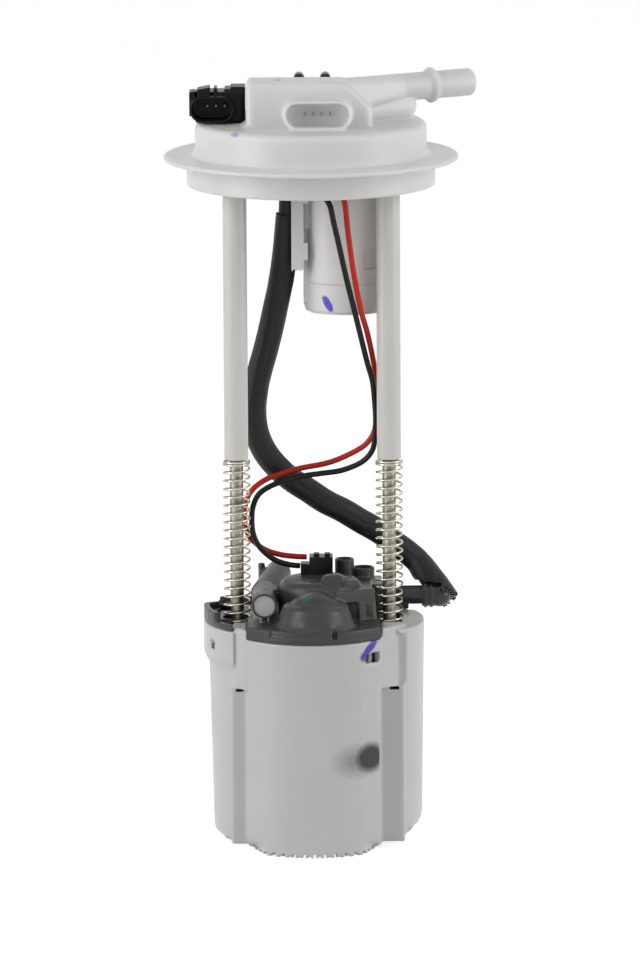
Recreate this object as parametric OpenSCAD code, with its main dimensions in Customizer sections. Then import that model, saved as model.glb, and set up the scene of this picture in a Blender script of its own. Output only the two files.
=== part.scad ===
// In-tank fuel pump module: a sprung flange on two guide rods over a reservoir that holds the pump.
// Millimetres, +Z up. The origin is on the reservoir's axis, on the tank floor. The flange is fully extended.

/* [Overall] */
// Height of the flange rim's underside above the tank floor, fully extended
rim_z = 316.2; // [308:0.2:324]
// Distance between the two guide rods
rod_spacing = 70; // [69:0.2:71]
// Distance of the guide rods in front of the reservoir's axis
rod_forward = 11; // [10:0.2:12]

/* [Flange] */
// Outer diameter of the flange's rim
rim_d = 135; // [128:0.5:140]
// Thickness of the rim
rim_t = 2.2; // [1.8:0.1:3]
// Outer diameter of the skirt that plugs the tank opening
skirt_d = 113.6; // [112:0.2:116]
// Height of the skirt below the rim
skirt_h = 11.5; // [8:0.5:14]
// Outer diameter of the raised deck
deck_d = 106; // [104:0.5:108]
// Height of the deck's top above the rim
deck_h = 15.1; // [14:0.1:17]
// Thickness of the deck's top
deck_t = 3; // [2.5:0.1:3.5]
// Wall of the deck and of the skirt
flange_wall = 2.5; // [2:0.1:3]
// Radius of the round between the deck's top and its wall
deck_round = 3; // [1:0.25:4]
// Height of the step at the foot of the deck
step_h = 2; // [1:0.25:3]
// Reach of that step beyond the deck's wall
step_out = 1.2; // [0.6:0.2:2]

/* [Turret] */
// Width of the turret that carries the ports
turret_w = 59; // [56:0.5:60]
// Front to back size of the turret
turret_d = 22; // [21:0.25:23]
// Height of the turret above the deck
turret_h = 20.8; // [20:0.2:22]
// Width of the sloping shoulder at its right end
shoulder_w = 14; // [10:0.5:18]
// Drop of that shoulder
shoulder_drop = 11.3; // [8:0.2:12]
// Radius of the turret's rounded edges
turret_round = 3; // [2:0.25:3.5]

/* [Electrical connector] */
// Outer width of the connector shroud
shroud_w = 31.6; // [30:0.2:33]
// Outer height of the connector shroud
shroud_h = 15.7; // [15:0.1:16]
// Width of the cavity in the shroud
cavity_w = 27.2; // [26.4:0.2:28]
// Height of the cavity in the shroud
cavity_h = 10; // [9:0.2:11]
// Depth of the cavity
cavity_depth = 14; // [12:0.5:16]
// Reach of the shroud in front of the turret
shroud_out = 6; // [4:0.5:8]
// Distance between the terminals
pin_pitch = 3.8; // [3.4:0.1:4]
// Width and thickness of a terminal
pin_w = 1.2; // [0.8:0.1:1.5]

/* [Ports] */
// Outer diameter of the vapour pipe
pipe_d = 12.7; // [12:0.1:13.4]
// Bore of the vapour pipe
pipe_bore = 9; // [8:0.2:10]
// Length of the vapour pipe from its root in the turret
pipe_len = 74.5; // [68:0.5:80]
// Direction of the vapour pipe, turned back from the right
pipe_turn = 30; // [26:1:34]
// Diameter of the retaining bead on the vapour pipe
bead_d = 16.5; // [15:0.25:18]
// Distance from the bead to the pipe's end
bead_back = 21.5; // [16:0.5:26]
// Outer diameter of the fuel feed nipple at the back
feed_d = 9.5; // [9:0.1:10]
// Bore of the fuel feed nipple
feed_bore = 6; // [5:0.2:7]
// Reach of the fuel feed nipple behind the turret
feed_len = 34; // [30:0.5:38]

/* [Guide parts] */
// Diameter of the steel guide rods
rod_d = 6.2; // [5.8:0.1:6.6]
// Outer diameter of the plastic guide tubes
tube_d = 11; // [10.4:0.1:11.6]
// Height of the guide tubes' lower ends above the spring seats when fully extended
spring_h = 78; // [72:0.5:82]
// Wire diameter of the springs
spring_wire = 1; // [0.8:0.1:1.2]
// Outer diameter of the springs
spring_d = 12.8; // [12:0.1:13]
// Number of turns of each spring
spring_turns = 22; // [18:1:24]
// Height of the spring seats above the tank floor
seat_z = 101; // [100:0.2:102.4]
// Length of the sockets that guide the rods
socket_len = 28; // [22:0.5:34]

/* [Vent valve] */
// Diameter of the vent valve
valve_d = 39.4; // [38.6:0.2:39.6]
// Depth of the vent valve below the rim's underside
valve_drop = 71; // [66:0.5:76]
// Height of the valve's lower cap
valve_cap_h = 14; // [12:0.5:17]
// Distance of the valve's axis to the right of the centre
valve_x = 15.6; // [15.2:0.2:15.8]
// Distance of the valve's axis behind the centre
valve_y = 8.6; // [8.4:0.2:9.4]
// Wall of the valve
valve_wall = 1.8; // [1.4:0.1:2.2]
// Travel of the valve's float
valve_lift = 4; // [3:0.5:5]

/* [Reservoir] */
// Height of the reservoir's shell
shell_h = 102.5; // [101.8:0.1:103.2]
// Radius of the reservoir at its top
body_r = 48.6; // [48.2:0.1:49]
// Draft of the reservoir's wall from top to bottom, on the radius
body_draft = 2.2; // [1:0.1:3]
// Radius of the rounded front at its top
front_r = 30.6; // [30:0.1:30.9]
// Draft of the rounded front, on the radius
front_draft = 1.6; // [1:0.1:2]
// Distance of the rounded front's axis in front of the reservoir's axis
front_y = 21.4; // [21:0.1:22]
// Wall of the reservoir
shell_wall = 2; // [1.6:0.1:2.2]
// Gap under the lobes, held open by the toothed foot
foot_h = 3.5; // [3:0.1:4]
// Radius of the wall's round at its foot
foot_round = 3; // [2:0.25:4]
// Radius of the right lobe's round at its foot
lobe_round = 9; // [6:0.5:10]
// Height of the rod channels' feet above the tank floor
channel_foot_z = 1.5; // [1:0.1:2.5]
// Number of teeth round the foot
teeth = 40; // [30:1:44]

/* [Cover] */
// Thickness of the cover's plate
plate_t = 3; // [2:0.1:3.4]
// Radius of the dome over the regulator
dome_r = 15.7; // [15:0.1:16]
// Radius of the boss over the pump
boss_r = 19.5; // [19.2:0.1:20]
// Height of the pump boss above the cover's plate
boss_h = 17.5; // [16:0.25:19]
// Height of the raised block beside the boss
block_h = 13; // [12:0.25:14]
// Diameter of the return tube across the cover
return_d = 11.5; // [11:0.1:11.6]

/* [Pump] */
// Diameter of the pump's can
pump_d = 38; // [37:0.2:38]
// Height of the pump's foot above the tank floor
can_z = 16; // [14:0.5:18]
// Height of the pump's end cap above its can
end_cap_h = 10; // [9:0.25:11]
// Wall of the pump's can
can_wall = 1; // [0.8:0.1:1.2]
// Diameter of the armature
armature_d = 21; // [18:0.5:22]
// Diameter of the pump's shaft
shaft_d = 4; // [3:0.1:5]
// Diameter of the impeller
impeller_d = 33; // [30:0.5:34]

/* [Level sender] */
// Length of the float arm from its pivot to the float
arm_len = 68; // [62:0.5:70]
// Diameter of the float arm's wire
arm_d = 2.4; // [2:0.1:2.8]
// Width of the float
float_w = 34; // [30:0.5:38]

/* [Hidden] */
$fn = 96;
part_gap = 0.3;
fit_gap = 0.05;
sliver = 0.01;

// Flange levels
rim_top = rim_z + rim_t;
deck_z = rim_top + deck_h;
ceiling_z = deck_z - deck_t;
skirt_z = rim_z - skirt_h;
deck_r = deck_d / 2;
turret_left = -31;
turret_right = turret_left + turret_w;
turret_mid_y = -13;
turret_front = turret_mid_y - turret_d / 2;
turret_back = turret_mid_y + turret_d / 2;
turret_z = deck_z + turret_h;

// Connector places
shroud_x = 1.5;
shroud_z = deck_z + shroud_h / 2 + part_gap;
shroud_face = turret_front - shroud_out;
pin_count = 4;
pin_tip = shroud_face + 5.5;
pin_bend_y = shroud_face + cavity_depth + 1.5;
pin_foot_z = ceiling_z - 4;
pin_xs = [for (i = [0:pin_count - 1]) shroud_x + (i - (pin_count - 1) / 2) * pin_pitch];

// Port places
pipe_root = [9, turret_mid_y, turret_z - pipe_d / 2];
stub_d = 12;
stub_len = 37;
stub_z = deck_z + stub_d / 2 - 0.2;
feed_x = 0.7;
feed_z = deck_z + 11.5;
feed_bead_d = feed_d + 2.2;
feed_bead_back = 13;
clip_t = 7;
clip_w = 17;
clip_ear_top = turret_z + 0.6;
sensor_at = [-39.5, -1.5];
sensor_port = [-40.5, 0.5];
sensor_hole_r = 5;
sensor_stem_r = 3;
hose_root = [-10.2, 3];
barb_r = 4;
barb_bore_r = 2.6;
barb_tip_z = skirt_z - 3;
valve_seat_r = 14;

// Guide places
rod_x = rod_spacing / 2;
rod_y = -rod_forward;
rod_r = rod_d / 2;
tube_foot_z = seat_z + spring_h;
socket_r = 6.3;
socket_bottom = seat_z - socket_len;
clip_ring_t = 1.2;
clip_ring_r = rod_r + 1.2;
rod_foot_z = socket_bottom - part_gap - clip_ring_t - 1.5;
tube_socket_r = tube_d / 2 + 1.6;
tube_socket_z = rim_z - 2;
tube_top_z = ceiling_z - 2;

// Valve places
valve_r = valve_d / 2;
valve_floor = rim_z - valve_drop;
valve_joint = valve_floor + valve_cap_h;
valve_top = ceiling_z - 6;
valve_flat_x = -1.6;
float_r = valve_r - 2 * valve_wall;
float_z = valve_floor + valve_wall + part_gap;
float_h = 62;

// Reservoir places
body_r_low = body_r - body_draft;
front_r_low = front_r - front_draft;
front_top = shell_h - 2.7;
lobe_r = 51;
lobe_draft = 1.2;
lobe_edge_x = 40.2;
band_r = 50.6;
band_z = 88;
band_taper = 9;
channel_r = 4.9;
left_slot = [-36.7, -30.4];
right_slot = [30.4, 40.2];
floor_t = 2;
floor_z = foot_h + floor_t;
foot_wall = 2.2;
tooth_gap_h = 1.2;
tooth_gap_w = 1.6;
rear_foot_r = 5;
rear_foot = [25, 33];
pad_w = 30;
pad_y = body_r + 0.6;
pad_z = 34;
window_w = 5.6;
window_h = 4.4;
window_z = 89.5;
front_window_turn = 57;
left_window_turn = 199;

// Cover places
plate_z = shell_h;
plate_top = plate_z + plate_t;
cover_r = body_r - 0.1;
cover_band_r = band_r - 0.1;
cover_front_r = front_r + 0.3;
cover_edge_x = lobe_edge_x - 0.3;
socket_clear = 0.4;
dome_at = [1, -33];
boss_at = [3, -9];
boss_round = 5;
boss_wall = 2.2;
boss_top = plate_top + boss_h;
block_top = plate_top + block_h;
block_x = [10, 33.5];
block_y = [-21, 24];
block_front_x = rod_x - socket_r - 0.9;
block_mid_y = rod_y + socket_r + 1;
return_at = [-22.5, -31, plate_top + 8.4];
return_elbow = [-22.5, -2, plate_top + 9.6];
return_end = [-16, 24, plate_top + 14];
return_dir = unit(return_elbow - return_at);
return_plug_d = 9.8;
return_plug_len = 8;
nipple_at = [block_x[1], 5, plate_top + 6.7];
nipple_d = 8.6;
nipple_len = 22.5;
elbow_at = [nipple_at[0] + nipple_len + 2, nipple_at[1], nipple_at[2]];
sleeve_end = [54, 9.3, 117.9];

// Pump places
pump_at = [3, -8];
pump_r = pump_d / 2;
end_cap_top = shell_h - 0.5;
can_top = end_cap_top - end_cap_h;
can_h = can_top - can_z;
can_in_r = pump_r - can_wall;
shaft_r = shaft_d / 2;
impeller_z = can_z + 6;
impeller_t = 3.6;
core_z = can_z + 15;
core_h = 42;
magnet_gap = 0.8;
outlet_turn = 55;
outlet_z = can_top + 3.4;
outlet_reach = 21.5;
filter_at = [13.5, 27];
filter_h = outlet_z - floor_z - 3.9;
poppet_r = 2.6;

// Level sender places
sender_at = [14, pad_y, shell_h - 22.5];
sender_t = 5;
hub_r = 6;
hub_t = 4;
arm_y = pad_y + sender_t + part_gap + hub_t / 2;
arm_angle = 242;
float_d = 16;
float_at = [sender_at[0] + arm_len * cos(arm_angle), arm_y, sender_at[2] + arm_len * sin(arm_angle)];

// Route of the fuel hose, from its barb under the flange to the outlet nipple
hose_r = 4.6;
sleeve_r = 6.1;
sleeve_bore = 5.1;
hose_route = [
    [-10, 3, 301.4], [-10.5, 3, 290], [-12, 3.5, 273.5], [-14, 4, 259.5], [-16.5, 5, 247.5], [-19, 6.5, 236],
    [-21.5, 8, 226], [-24, 9, 217], [-26, 10, 207.5], [-27, 11, 198], [-26, 12, 188.5], [-23, 13, 180],
    [-18, 14, 172.5], [-10.5, 15.5, 165], [-2.5, 16.5, 159.5], [5.5, 17, 154], [14, 17.5, 149.5],
    [22, 18, 144.5], [30.5, 18, 139.5], [38, 17, 134], [44.5, 16.2, 129.2], [49, 14.7, 125], [51.4, 12.1, 121.6]
];
// Route of the black wire, from the plug under the flange to the pump's plug
wire_r = 1.3;
black_route = [
    [3.4, -14, 308], [3.4, -14, 306.6], [5.3, -16, 302], [8.5, -18, 297], [10, -17.5, 290], [12, -17, 281], [16, -16.5, 262.5],
    [20.5, -14, 243.5], [25, -10, 224], [27.5, -7, 214.5], [28.5, -5.5, 205], [29, -5, 195.5], [28.5, -4, 186],
    [27, -3, 180.5], [22.5, -1.5, 175.5], [13.5, 0, 171.5], [4, 0.5, 170], [-5.5, 1, 168.5], [-17, 2, 165],
    [-24.5, 2.5, 160.5], [-27.5, 3, 154.5], [-28.2, 3, 148.5], [-27.7, 3, 142], [-25.5, 3, 136.5],
    [-22, 2.5, 132.5], [-17, 2, 129], [-10.5, 2, 127], [-6, 2, 126.6]
];
// Route of the red wire
red_route = [
    [7.2, -14, 308], [7.2, -14, 306.8], [11, -16.5, 303.5], [15, -18, 299], [16.5, -17.5, 286], [19, -17, 267], [22.5, -15, 248],
    [25, -12, 238.5], [27, -8, 229], [28.6, -4, 219], [29.2, -1.5, 209.5], [29.4, -1, 200], [28.6, 0, 190.5],
    [25.5, 1, 184.5], [20.5, 2, 180.5], [11.5, 3.2, 176], [4.5, 3.6, 173.8], [-5, 4, 172], [-14, 4, 169.5],
    [-21, 4, 167], [-27.5, 3, 162.5], [-31, 1, 156.5], [-31.5, 2, 147], [-29.5, 5, 140],
    [-26, 6.5, 136], [-21.5, 6.5, 133], [-15, 6.5, 131], [-8, 6, 130.2], [-3, 6, 130]
];
plug_x = [-1.8, 9];
plug_y = [-1.5, 8.5];
plug_h = 8;

// Unit vector along a
function unit(a) = a / norm(a);

// Direction of a route at its point i
function route_dir(p, i) = unit(p[min(i + 1, len(p) - 1)] - p[max(i - 1, 0)]);

// Ring of points round a route's point i, across the route
function ring(p, i, r, sides) =
    let (t = route_dir(p, i), u = unit(cross(t, [0, 1, 0])), v = cross(t, u))
    [for (k = [0:sides - 1]) p[i] + r * cos(360 * k / sides) * u + r * sin(360 * k / sides) * v];

// Solid tube of radius r along a route
module swept(p, r, sides) {
    n = len(p);
    points = [for (i = [0:n - 1]) each ring(p, i, r, sides)];
    walls = [for (i = [0:n - 2], k = [0:sides - 1])
        [i * sides + k, i * sides + (k + 1) % sides, (i + 1) * sides + (k + 1) % sides, (i + 1) * sides + k]];
    start = [for (k = [sides - 1:-1:0]) k];
    finish = [for (k = [0:sides - 1]) (n - 1) * sides + k];
    polyhedron(points, concat([start, finish], walls), convexity = 10);
}

// Hollow tube between two radii along a route
module swept_shell(p, outer, bore, sides) {
    n = len(p);
    m = n * sides;
    points = concat([for (i = [0:n - 1]) each ring(p, i, outer, sides)],
        [for (i = [0:n - 1]) each ring(p, i, bore, sides)]);
    outside = [for (i = [0:n - 2], k = [0:sides - 1])
        [i * sides + k, i * sides + (k + 1) % sides, (i + 1) * sides + (k + 1) % sides, (i + 1) * sides + k]];
    inside = [for (f = outside) [for (j = [3:-1:0]) f[j] + m]];
    start = [for (k = [0:sides - 1]) [(k + 1) % sides, k, m + k, m + (k + 1) % sides]];
    finish = [for (f = start) [for (j = [3:-1:0]) f[j] + (n - 1) * sides]];
    polyhedron(points, concat(outside, inside, start, finish), convexity = 10);
}

// Cylinder from point a to point b
module rod_between(a, b, r) {
    d = b - a;
    translate(a)
        rotate([0, acos(d[2] / norm(d)), atan2(d[1], d[0])])
            cylinder(h = norm(d), r = r);
}

// Bar of rectangular section, given by its lower and upper corners
module block(low, high) {
    translate(low) cube(high - low);
}

// Flat outline with round ends, of width w and height h
module stadium(w, h) {
    square([w - h, h], center = true);
    for (s = [-1, 1]) translate([s * (w - h) / 2, 0]) circle(d = h);
}

// Stadium that faces the viewer, from face_y back by depth
module stadium_block(x, z, face_y, w, h, depth) {
    translate([x, face_y, z]) rotate([-90, 0, 0]) linear_extrude(depth) stadium(w, h);
}

// Places children at both guide rods
module at_rods() {
    for (s = [-1, 1]) translate([s * rod_x, rod_y, 0]) children();
}

// Flange: rim, skirt and hollow deck, turned about the axis
module flange_body() {
    arc = [for (a = [0:15:90]) [deck_r - deck_round + deck_round * cos(a), deck_z - deck_round + deck_round * sin(a)]];
    rim_r = rim_d / 2;
    skirt_r = skirt_d / 2;
    rotate_extrude()
        polygon(concat([
            [0, ceiling_z], [deck_r - flange_wall, ceiling_z], [deck_r - flange_wall, rim_z],
            [skirt_r - flange_wall, rim_z], [skirt_r - flange_wall, skirt_z], [skirt_r, skirt_z],
            [skirt_r, rim_z], [rim_r - 0.5, rim_z], [rim_r, rim_z + 0.5], [rim_r, rim_top - 0.7],
            [rim_r - 0.7, rim_top], [deck_r + step_out, rim_top], [deck_r + step_out - 0.5, rim_top + step_h],
            [deck_r, rim_top + step_h]], arc, [[0, deck_z]]));
}

// Points of a quarter round of radius r about c, from angle a0 to a1
function corner(c, r, a0, a1) = [for (i = [0:5]) c + r * [cos(a0 + (a1 - a0) * i / 5), sin(a0 + (a1 - a0) * i / 5)]];

// Turret on the deck: front, side and top outlines crossed, with a sloping right shoulder
module turret() {
    r = turret_round;
    slope_x = turret_right - shoulder_w;
    low = deck_z - deck_t / 2;
    front = concat([[turret_left, low]], corner([turret_left + r, turret_z - r], r, 180, 90),
        corner([slope_x, turret_z - r], r, 90, 51),
        corner([turret_right - r, turret_z - shoulder_drop - r], r, 51, 0), [[turret_right, low]]);
    side = concat([[turret_front, low]], corner([turret_front + r, turret_z - r], r, 180, 90),
        corner([turret_back - r, turret_z - r], r, 90, 0), [[turret_back, low]]);
    top = concat(corner([turret_left + r, turret_front + r], r, 270, 180),
        corner([turret_left + r, turret_back - r], r, 180, 90),
        corner([turret_right - r, turret_back - r], r, 90, 0),
        corner([turret_right - r, turret_front + r], r, 360, 270));
    intersection() {
        translate([0, turret_back + 1, 0]) rotate([90, 0, 0]) linear_extrude(turret_d + 2) polygon(front);
        translate([turret_left - 1, 0, 0]) rotate([90, 0, 90]) linear_extrude(turret_w + 2) polygon(side);
        translate([0, 0, low - 1]) linear_extrude(turret_h + deck_t) polygon(top);
    }
}

// Vapour pipe with its bead and rounded tip, along its own X
module vapour_pipe() {
    r = pipe_d / 2;
    translate(pipe_root)
        rotate([0, 90, pipe_turn])
            rotate_extrude()
                polygon([[0, 0], [r, 0], [r, pipe_len - bead_back - 2], [bead_d / 2, pipe_len - bead_back - 0.6],
                    [bead_d / 2, pipe_len - bead_back + 0.6], [r, pipe_len - bead_back + 2], [r, pipe_len - 1.2],
                    [r - 0.4, pipe_len - 0.4], [r - 1.2, pipe_len], [0, pipe_len]]);
}

// Blind stub with a domed end, below the vapour pipe
module blind_stub() {
    translate([pipe_root[0], pipe_root[1], stub_z])
        rotate([0, 90, pipe_turn]) {
            cylinder(h = stub_len - stub_d / 4, d = stub_d);
            translate([0, 0, stub_len - stub_d / 4]) cylinder(h = stub_d / 4, d1 = stub_d, d2 = stub_d * 0.7);
        }
}

// Fuel feed nipple behind the turret, with its bead
module feed_nipple() {
    r = feed_d / 2;
    translate([feed_x, turret_mid_y, feed_z])
        rotate([-90, 0, 0])
            rotate_extrude()
                polygon([[0, 0], [r, 0], [r, turret_d / 2 + feed_len - feed_bead_back - 1.5],
                    [feed_bead_d / 2, turret_d / 2 + feed_len - feed_bead_back],
                    [r, turret_d / 2 + feed_len - feed_bead_back + 1.5], [r, turret_d / 2 + feed_len - 1],
                    [r - 1, turret_d / 2 + feed_len], [0, turret_d / 2 + feed_len]]);
}

// Bosses under the deck: tube sockets, valve seat and hose barb
module deck_underside() {
    at_rods() translate([0, 0, tube_socket_z]) cylinder(h = ceiling_z - tube_socket_z + 1, r = tube_socket_r);
    translate([valve_x, valve_y, valve_top + fit_gap]) cylinder(h = ceiling_z - valve_top + 1, r = valve_seat_r);
    translate([hose_root[0], hose_root[1], barb_tip_z]) {
        cylinder(h = ceiling_z - barb_tip_z + 1, r = barb_r);
        for (z = [1, 4, 7]) translate([0, 0, z]) cylinder(h = 1.6, r1 = barb_r, r2 = barb_r + 0.5);
    }
    translate([sensor_port[0], sensor_port[1], ceiling_z - 4]) cylinder(h = 5, r = sensor_hole_r + 2.6);
}

// One terminal: a blade that points out of the shroud, bends and goes down through the deck
module terminal(x) {
    block([x - pin_w / 2, pin_tip, shroud_z - pin_w / 2], [x + pin_w / 2, pin_bend_y, shroud_z + pin_w / 2]);
    block([x - pin_w / 2, pin_bend_y - pin_w, pin_foot_z], [x + pin_w / 2, pin_bend_y, shroud_z + pin_w / 2]);
}

module flange() {
    color("#eeeeea")
        difference() {
            union() {
                flange_body();
                turret();
                stadium_block(shroud_x, shroud_z, shroud_face, shroud_w, shroud_h, cavity_depth + 2);
                vapour_pipe();
                blind_stub();
                feed_nipple();
                deck_underside();
            }
            stadium_block(shroud_x, shroud_z, shroud_face - 1, cavity_w, cavity_h, cavity_depth + 1);
            for (x = pin_xs) terminal(x);
            translate(pipe_root) rotate([0, 90, pipe_turn]) cylinder(h = pipe_len + 1, d = pipe_bore);
            translate([feed_x, turret_mid_y, feed_z]) rotate([-90, 0, 0]) cylinder(h = turret_d + feed_len, d = feed_bore);
            at_rods() translate([0, 0, tube_socket_z - 1]) cylinder(h = tube_top_z - tube_socket_z + 1, r = tube_d / 2 + fit_gap);
            translate([hose_root[0], hose_root[1], barb_tip_z - 1]) cylinder(h = feed_z - barb_tip_z, r = barb_bore_r);
            translate([sensor_port[0], sensor_port[1], ceiling_z - 5]) cylinder(h = deck_t + 6, r = sensor_hole_r);
        }
}

module flange_terminals() {
    color("#c9b27a") for (x = pin_xs) terminal(x);
}

// Harness plug on the feet of the terminals, inside the deck
module flange_plug() {
    color("#26262a")
        difference() {
            block([pin_xs[0] - 3, pin_bend_y - 6, 308], [pin_xs[3] + 3, pin_bend_y + 1.4, ceiling_z - 0.1]);
            for (x = pin_xs) terminal(x);
        }
}

// Tank pressure sensor: round body, oval connector shell and latch ribs
module pressure_sensor() {
    shell_x = -45.4;
    shell_z = deck_z + 6.1;
    shell_face = -12.5;
    color("#1d1d1f")
        difference() {
            union() {
                translate([sensor_at[0], sensor_at[1], deck_z + 0.2]) cylinder(h = 13.6, r = 8.3);
                translate([sensor_at[0], sensor_at[1], deck_z + 13]) cylinder(h = 2, r1 = 7.4, r2 = 6.4);
                translate([sensor_port[0], sensor_port[1], ceiling_z - 8]) cylinder(h = 20, r = sensor_stem_r);
                stadium_block(shell_x, shell_z, shell_face, 20.4, 12, 16);
                block([-55.2, shell_face + 3, shell_z + 2], [-52.4, shell_face + 12, shell_z + 8.2]);
                block([-51.6, shell_face + 1.5, shell_z + 5], [-46.4, shell_face + 13, shell_z + 9.4]);
                block([-44.8, shell_face + 3, shell_z + 5], [-42.4, shell_face + 12, shell_z + 8.6]);
            }
            stadium_block(shell_x, shell_z, shell_face - 1, 18, 9.8, 11);
        }
}

module sensor_terminals() {
    color("#c9b27a")
        for (i = [-1:1])
            block([-45.4 + 3.85 * i - 0.35, -8.2, deck_z + 6.6], [-45.4 + 3.85 * i + 0.35, -2.5, deck_z + 7.3]);
}

// Rubber grommet between the sensor's stem and the deck
module sensor_grommet() {
    color("#2a2a2a")
        translate([sensor_port[0], sensor_port[1], 0])
            difference() {
                translate([0, 0, ceiling_z - 4]) cylinder(h = deck_z - ceiling_z + 4, r = sensor_hole_r - fit_gap);
                translate([0, 0, ceiling_z - 5]) cylinder(h = deck_t + 8, r = sensor_stem_r + fit_gap);
            }
}

// Quick-connect retainer on the feed nipple, with two ears
module feed_line_clip() {
    y0 = turret_back + 10;
    color("#3b3c40")
        difference() {
            union() {
                block([feed_x - clip_w / 2, y0, feed_z - 8], [feed_x + clip_w / 2, y0 + clip_t, feed_z + 6.5]);
                for (x = [feed_x - clip_w / 2 + 0.5, feed_x + clip_w / 2 - 4.5])
                    translate([x + 2, y0, clip_ear_top - 3])
                        rotate([-90, 0, 0]) cylinder(h = clip_t, r = 2.4);
                for (x = [feed_x - clip_w / 2 + 0.5, feed_x + clip_w / 2 - 4.5])
                    block([x, y0, feed_z + 5], [x + 4, y0 + clip_t, clip_ear_top - 3]);
            }
            translate([feed_x, y0 - 1, feed_z]) rotate([-90, 0, 0]) cylinder(h = clip_t + 2, r = feed_d / 2 + fit_gap);
            block([feed_x - 2.4, y0 - 1, feed_z - 9], [feed_x + 2.4, y0 + clip_t + 1, feed_z - 2]);
        }
}

// Guide tube with a collar rib near its top
module guide_tube() {
    difference() {
        union() {
            translate([0, 0, tube_foot_z]) cylinder(h = tube_top_z - tube_foot_z, d = tube_d);
            translate([0, 0, tube_socket_z - 13]) cylinder(h = 9, d = tube_d + 2.2);
        }
        translate([0, 0, tube_foot_z - 1]) cylinder(h = tube_top_z, r = rod_r + fit_gap);
    }
}

module left_guide_tube() {
    color("#f1f0ec") translate([-rod_x, rod_y, 0]) guide_tube();
}

module right_guide_tube() {
    color("#f1f0ec") translate([rod_x, rod_y, 0]) guide_tube();
}

// Steel rod with a chamfered foot
module guide_rod() {
    translate([0, 0, rod_foot_z + 0.8]) cylinder(h = tube_top_z - 3 - rod_foot_z, d = rod_d);
    translate([0, 0, rod_foot_z]) cylinder(h = 0.8, r1 = rod_r - 0.8, r2 = rod_r);
}

module left_guide_rod() {
    color("#8d8a82") translate([-rod_x, rod_y, 0]) guide_rod();
}

module right_guide_rod() {
    color("#8d8a82") translate([rod_x, rod_y, 0]) guide_rod();
}

// Push-on rings that stop the rods under their sockets
module rod_clips() {
    color("#5d5a54")
        at_rods()
            translate([0, 0, socket_bottom - part_gap - clip_ring_t])
                difference() {
                    cylinder(h = clip_ring_t, r = clip_ring_r);
                    translate([0, 0, -1]) cylinder(h = clip_ring_t + 2, r = rod_r + fit_gap);
                }
}

// Valve outline with its flat side
module valve_outline(r) {
    intersection() {
        translate([valve_x, valve_y]) circle(r);
        translate([valve_flat_x + valve_r - r, -60]) square([120, 120]);
    }
}

module vent_valve_body() {
    window_turn = 34;
    color("#efeeea")
        difference() {
            union() {
                translate([0, 0, valve_joint + 0.05]) linear_extrude(valve_top - valve_joint - 0.05) valve_outline(valve_r);
                translate([valve_x, valve_y, valve_joint - 6]) cylinder(h = 7, r = valve_r - valve_wall - 0.05);
            }
            translate([valve_x, valve_y, valve_joint - 7])
                cylinder(h = float_z + float_h + valve_lift + part_gap - valve_joint + 7, r = float_r);
            translate([valve_x, valve_y, valve_joint]) cylinder(h = valve_top - valve_joint - 4, r = 5.6);
            translate([valve_x, valve_y, 0])
                rotate([0, 0, window_turn - 90])
                    block([valve_r - 1, -3, valve_joint + 7], [valve_r + 3, 3, valve_joint + 16]);
        }
}

module vent_valve_cap() {
    color("#e9e8e4")
        difference() {
            union() {
                translate([0, 0, valve_floor + 1.2]) linear_extrude(valve_cap_h - 1.2) valve_outline(valve_r);
                translate([0, 0, valve_floor]) linear_extrude(1.3) valve_outline(valve_r - 1);
            }
            translate([valve_x, valve_y, valve_floor + valve_wall])
                cylinder(h = valve_cap_h, r = valve_r - valve_wall);
            for (a = [30:60:330])
                translate([valve_x, valve_y, valve_floor - 1])
                    rotate([0, 0, a]) translate([11, 0, 0]) cylinder(h = valve_wall + 2, r = 2, $fn = 24);
        }
}

module vent_valve_float() {
    color("#dcd9cf")
        translate([valve_x, valve_y, float_z]) {
            cylinder(h = float_h, r = float_r - 0.5);
            translate([0, 0, float_h]) cylinder(h = 5, r1 = 5, r2 = 1.5);
        }
}

// Strip under the flange that holds the hose, with a serrated foot and a hook round the hose
module hose_guide() {
    strip = [-9.2, -3.5];
    strip_y = [-6.8, -4.6];
    foot_z = rim_z - 51;
    color("#efeeea")
        difference() {
            union() {
                block([strip[0], strip_y[0], foot_z], [strip[1], strip_y[1], ceiling_z]);
                for (z = [rim_z - 46, rim_z - 20])
                    block([strip[1] - 1, strip_y[0], z], [valve_flat_x, strip_y[1], z + 8]);
            }
            for (k = [0:2])
                translate([strip[0] + 1.2 + 1.9 * k, strip_y[0] - 1, foot_z])
                    rotate([0, 45, 0]) translate([-0.6, 0, -0.6]) cube([1.2, 5, 1.2]);
        }
}

// Coil spring: open turns between closed end turns
function coil_z(t, z0, z1) =
    let (closed = 1.5, tight = closed * spring_wire * 1.15, open = (z1 - z0) - 2 * tight)
    t < closed ? z0 + tight * t / closed
    : t > spring_turns - closed ? z1 - tight * (spring_turns - t) / closed
    : z0 + tight + open * (t - closed) / (spring_turns - 2 * closed);

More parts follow.
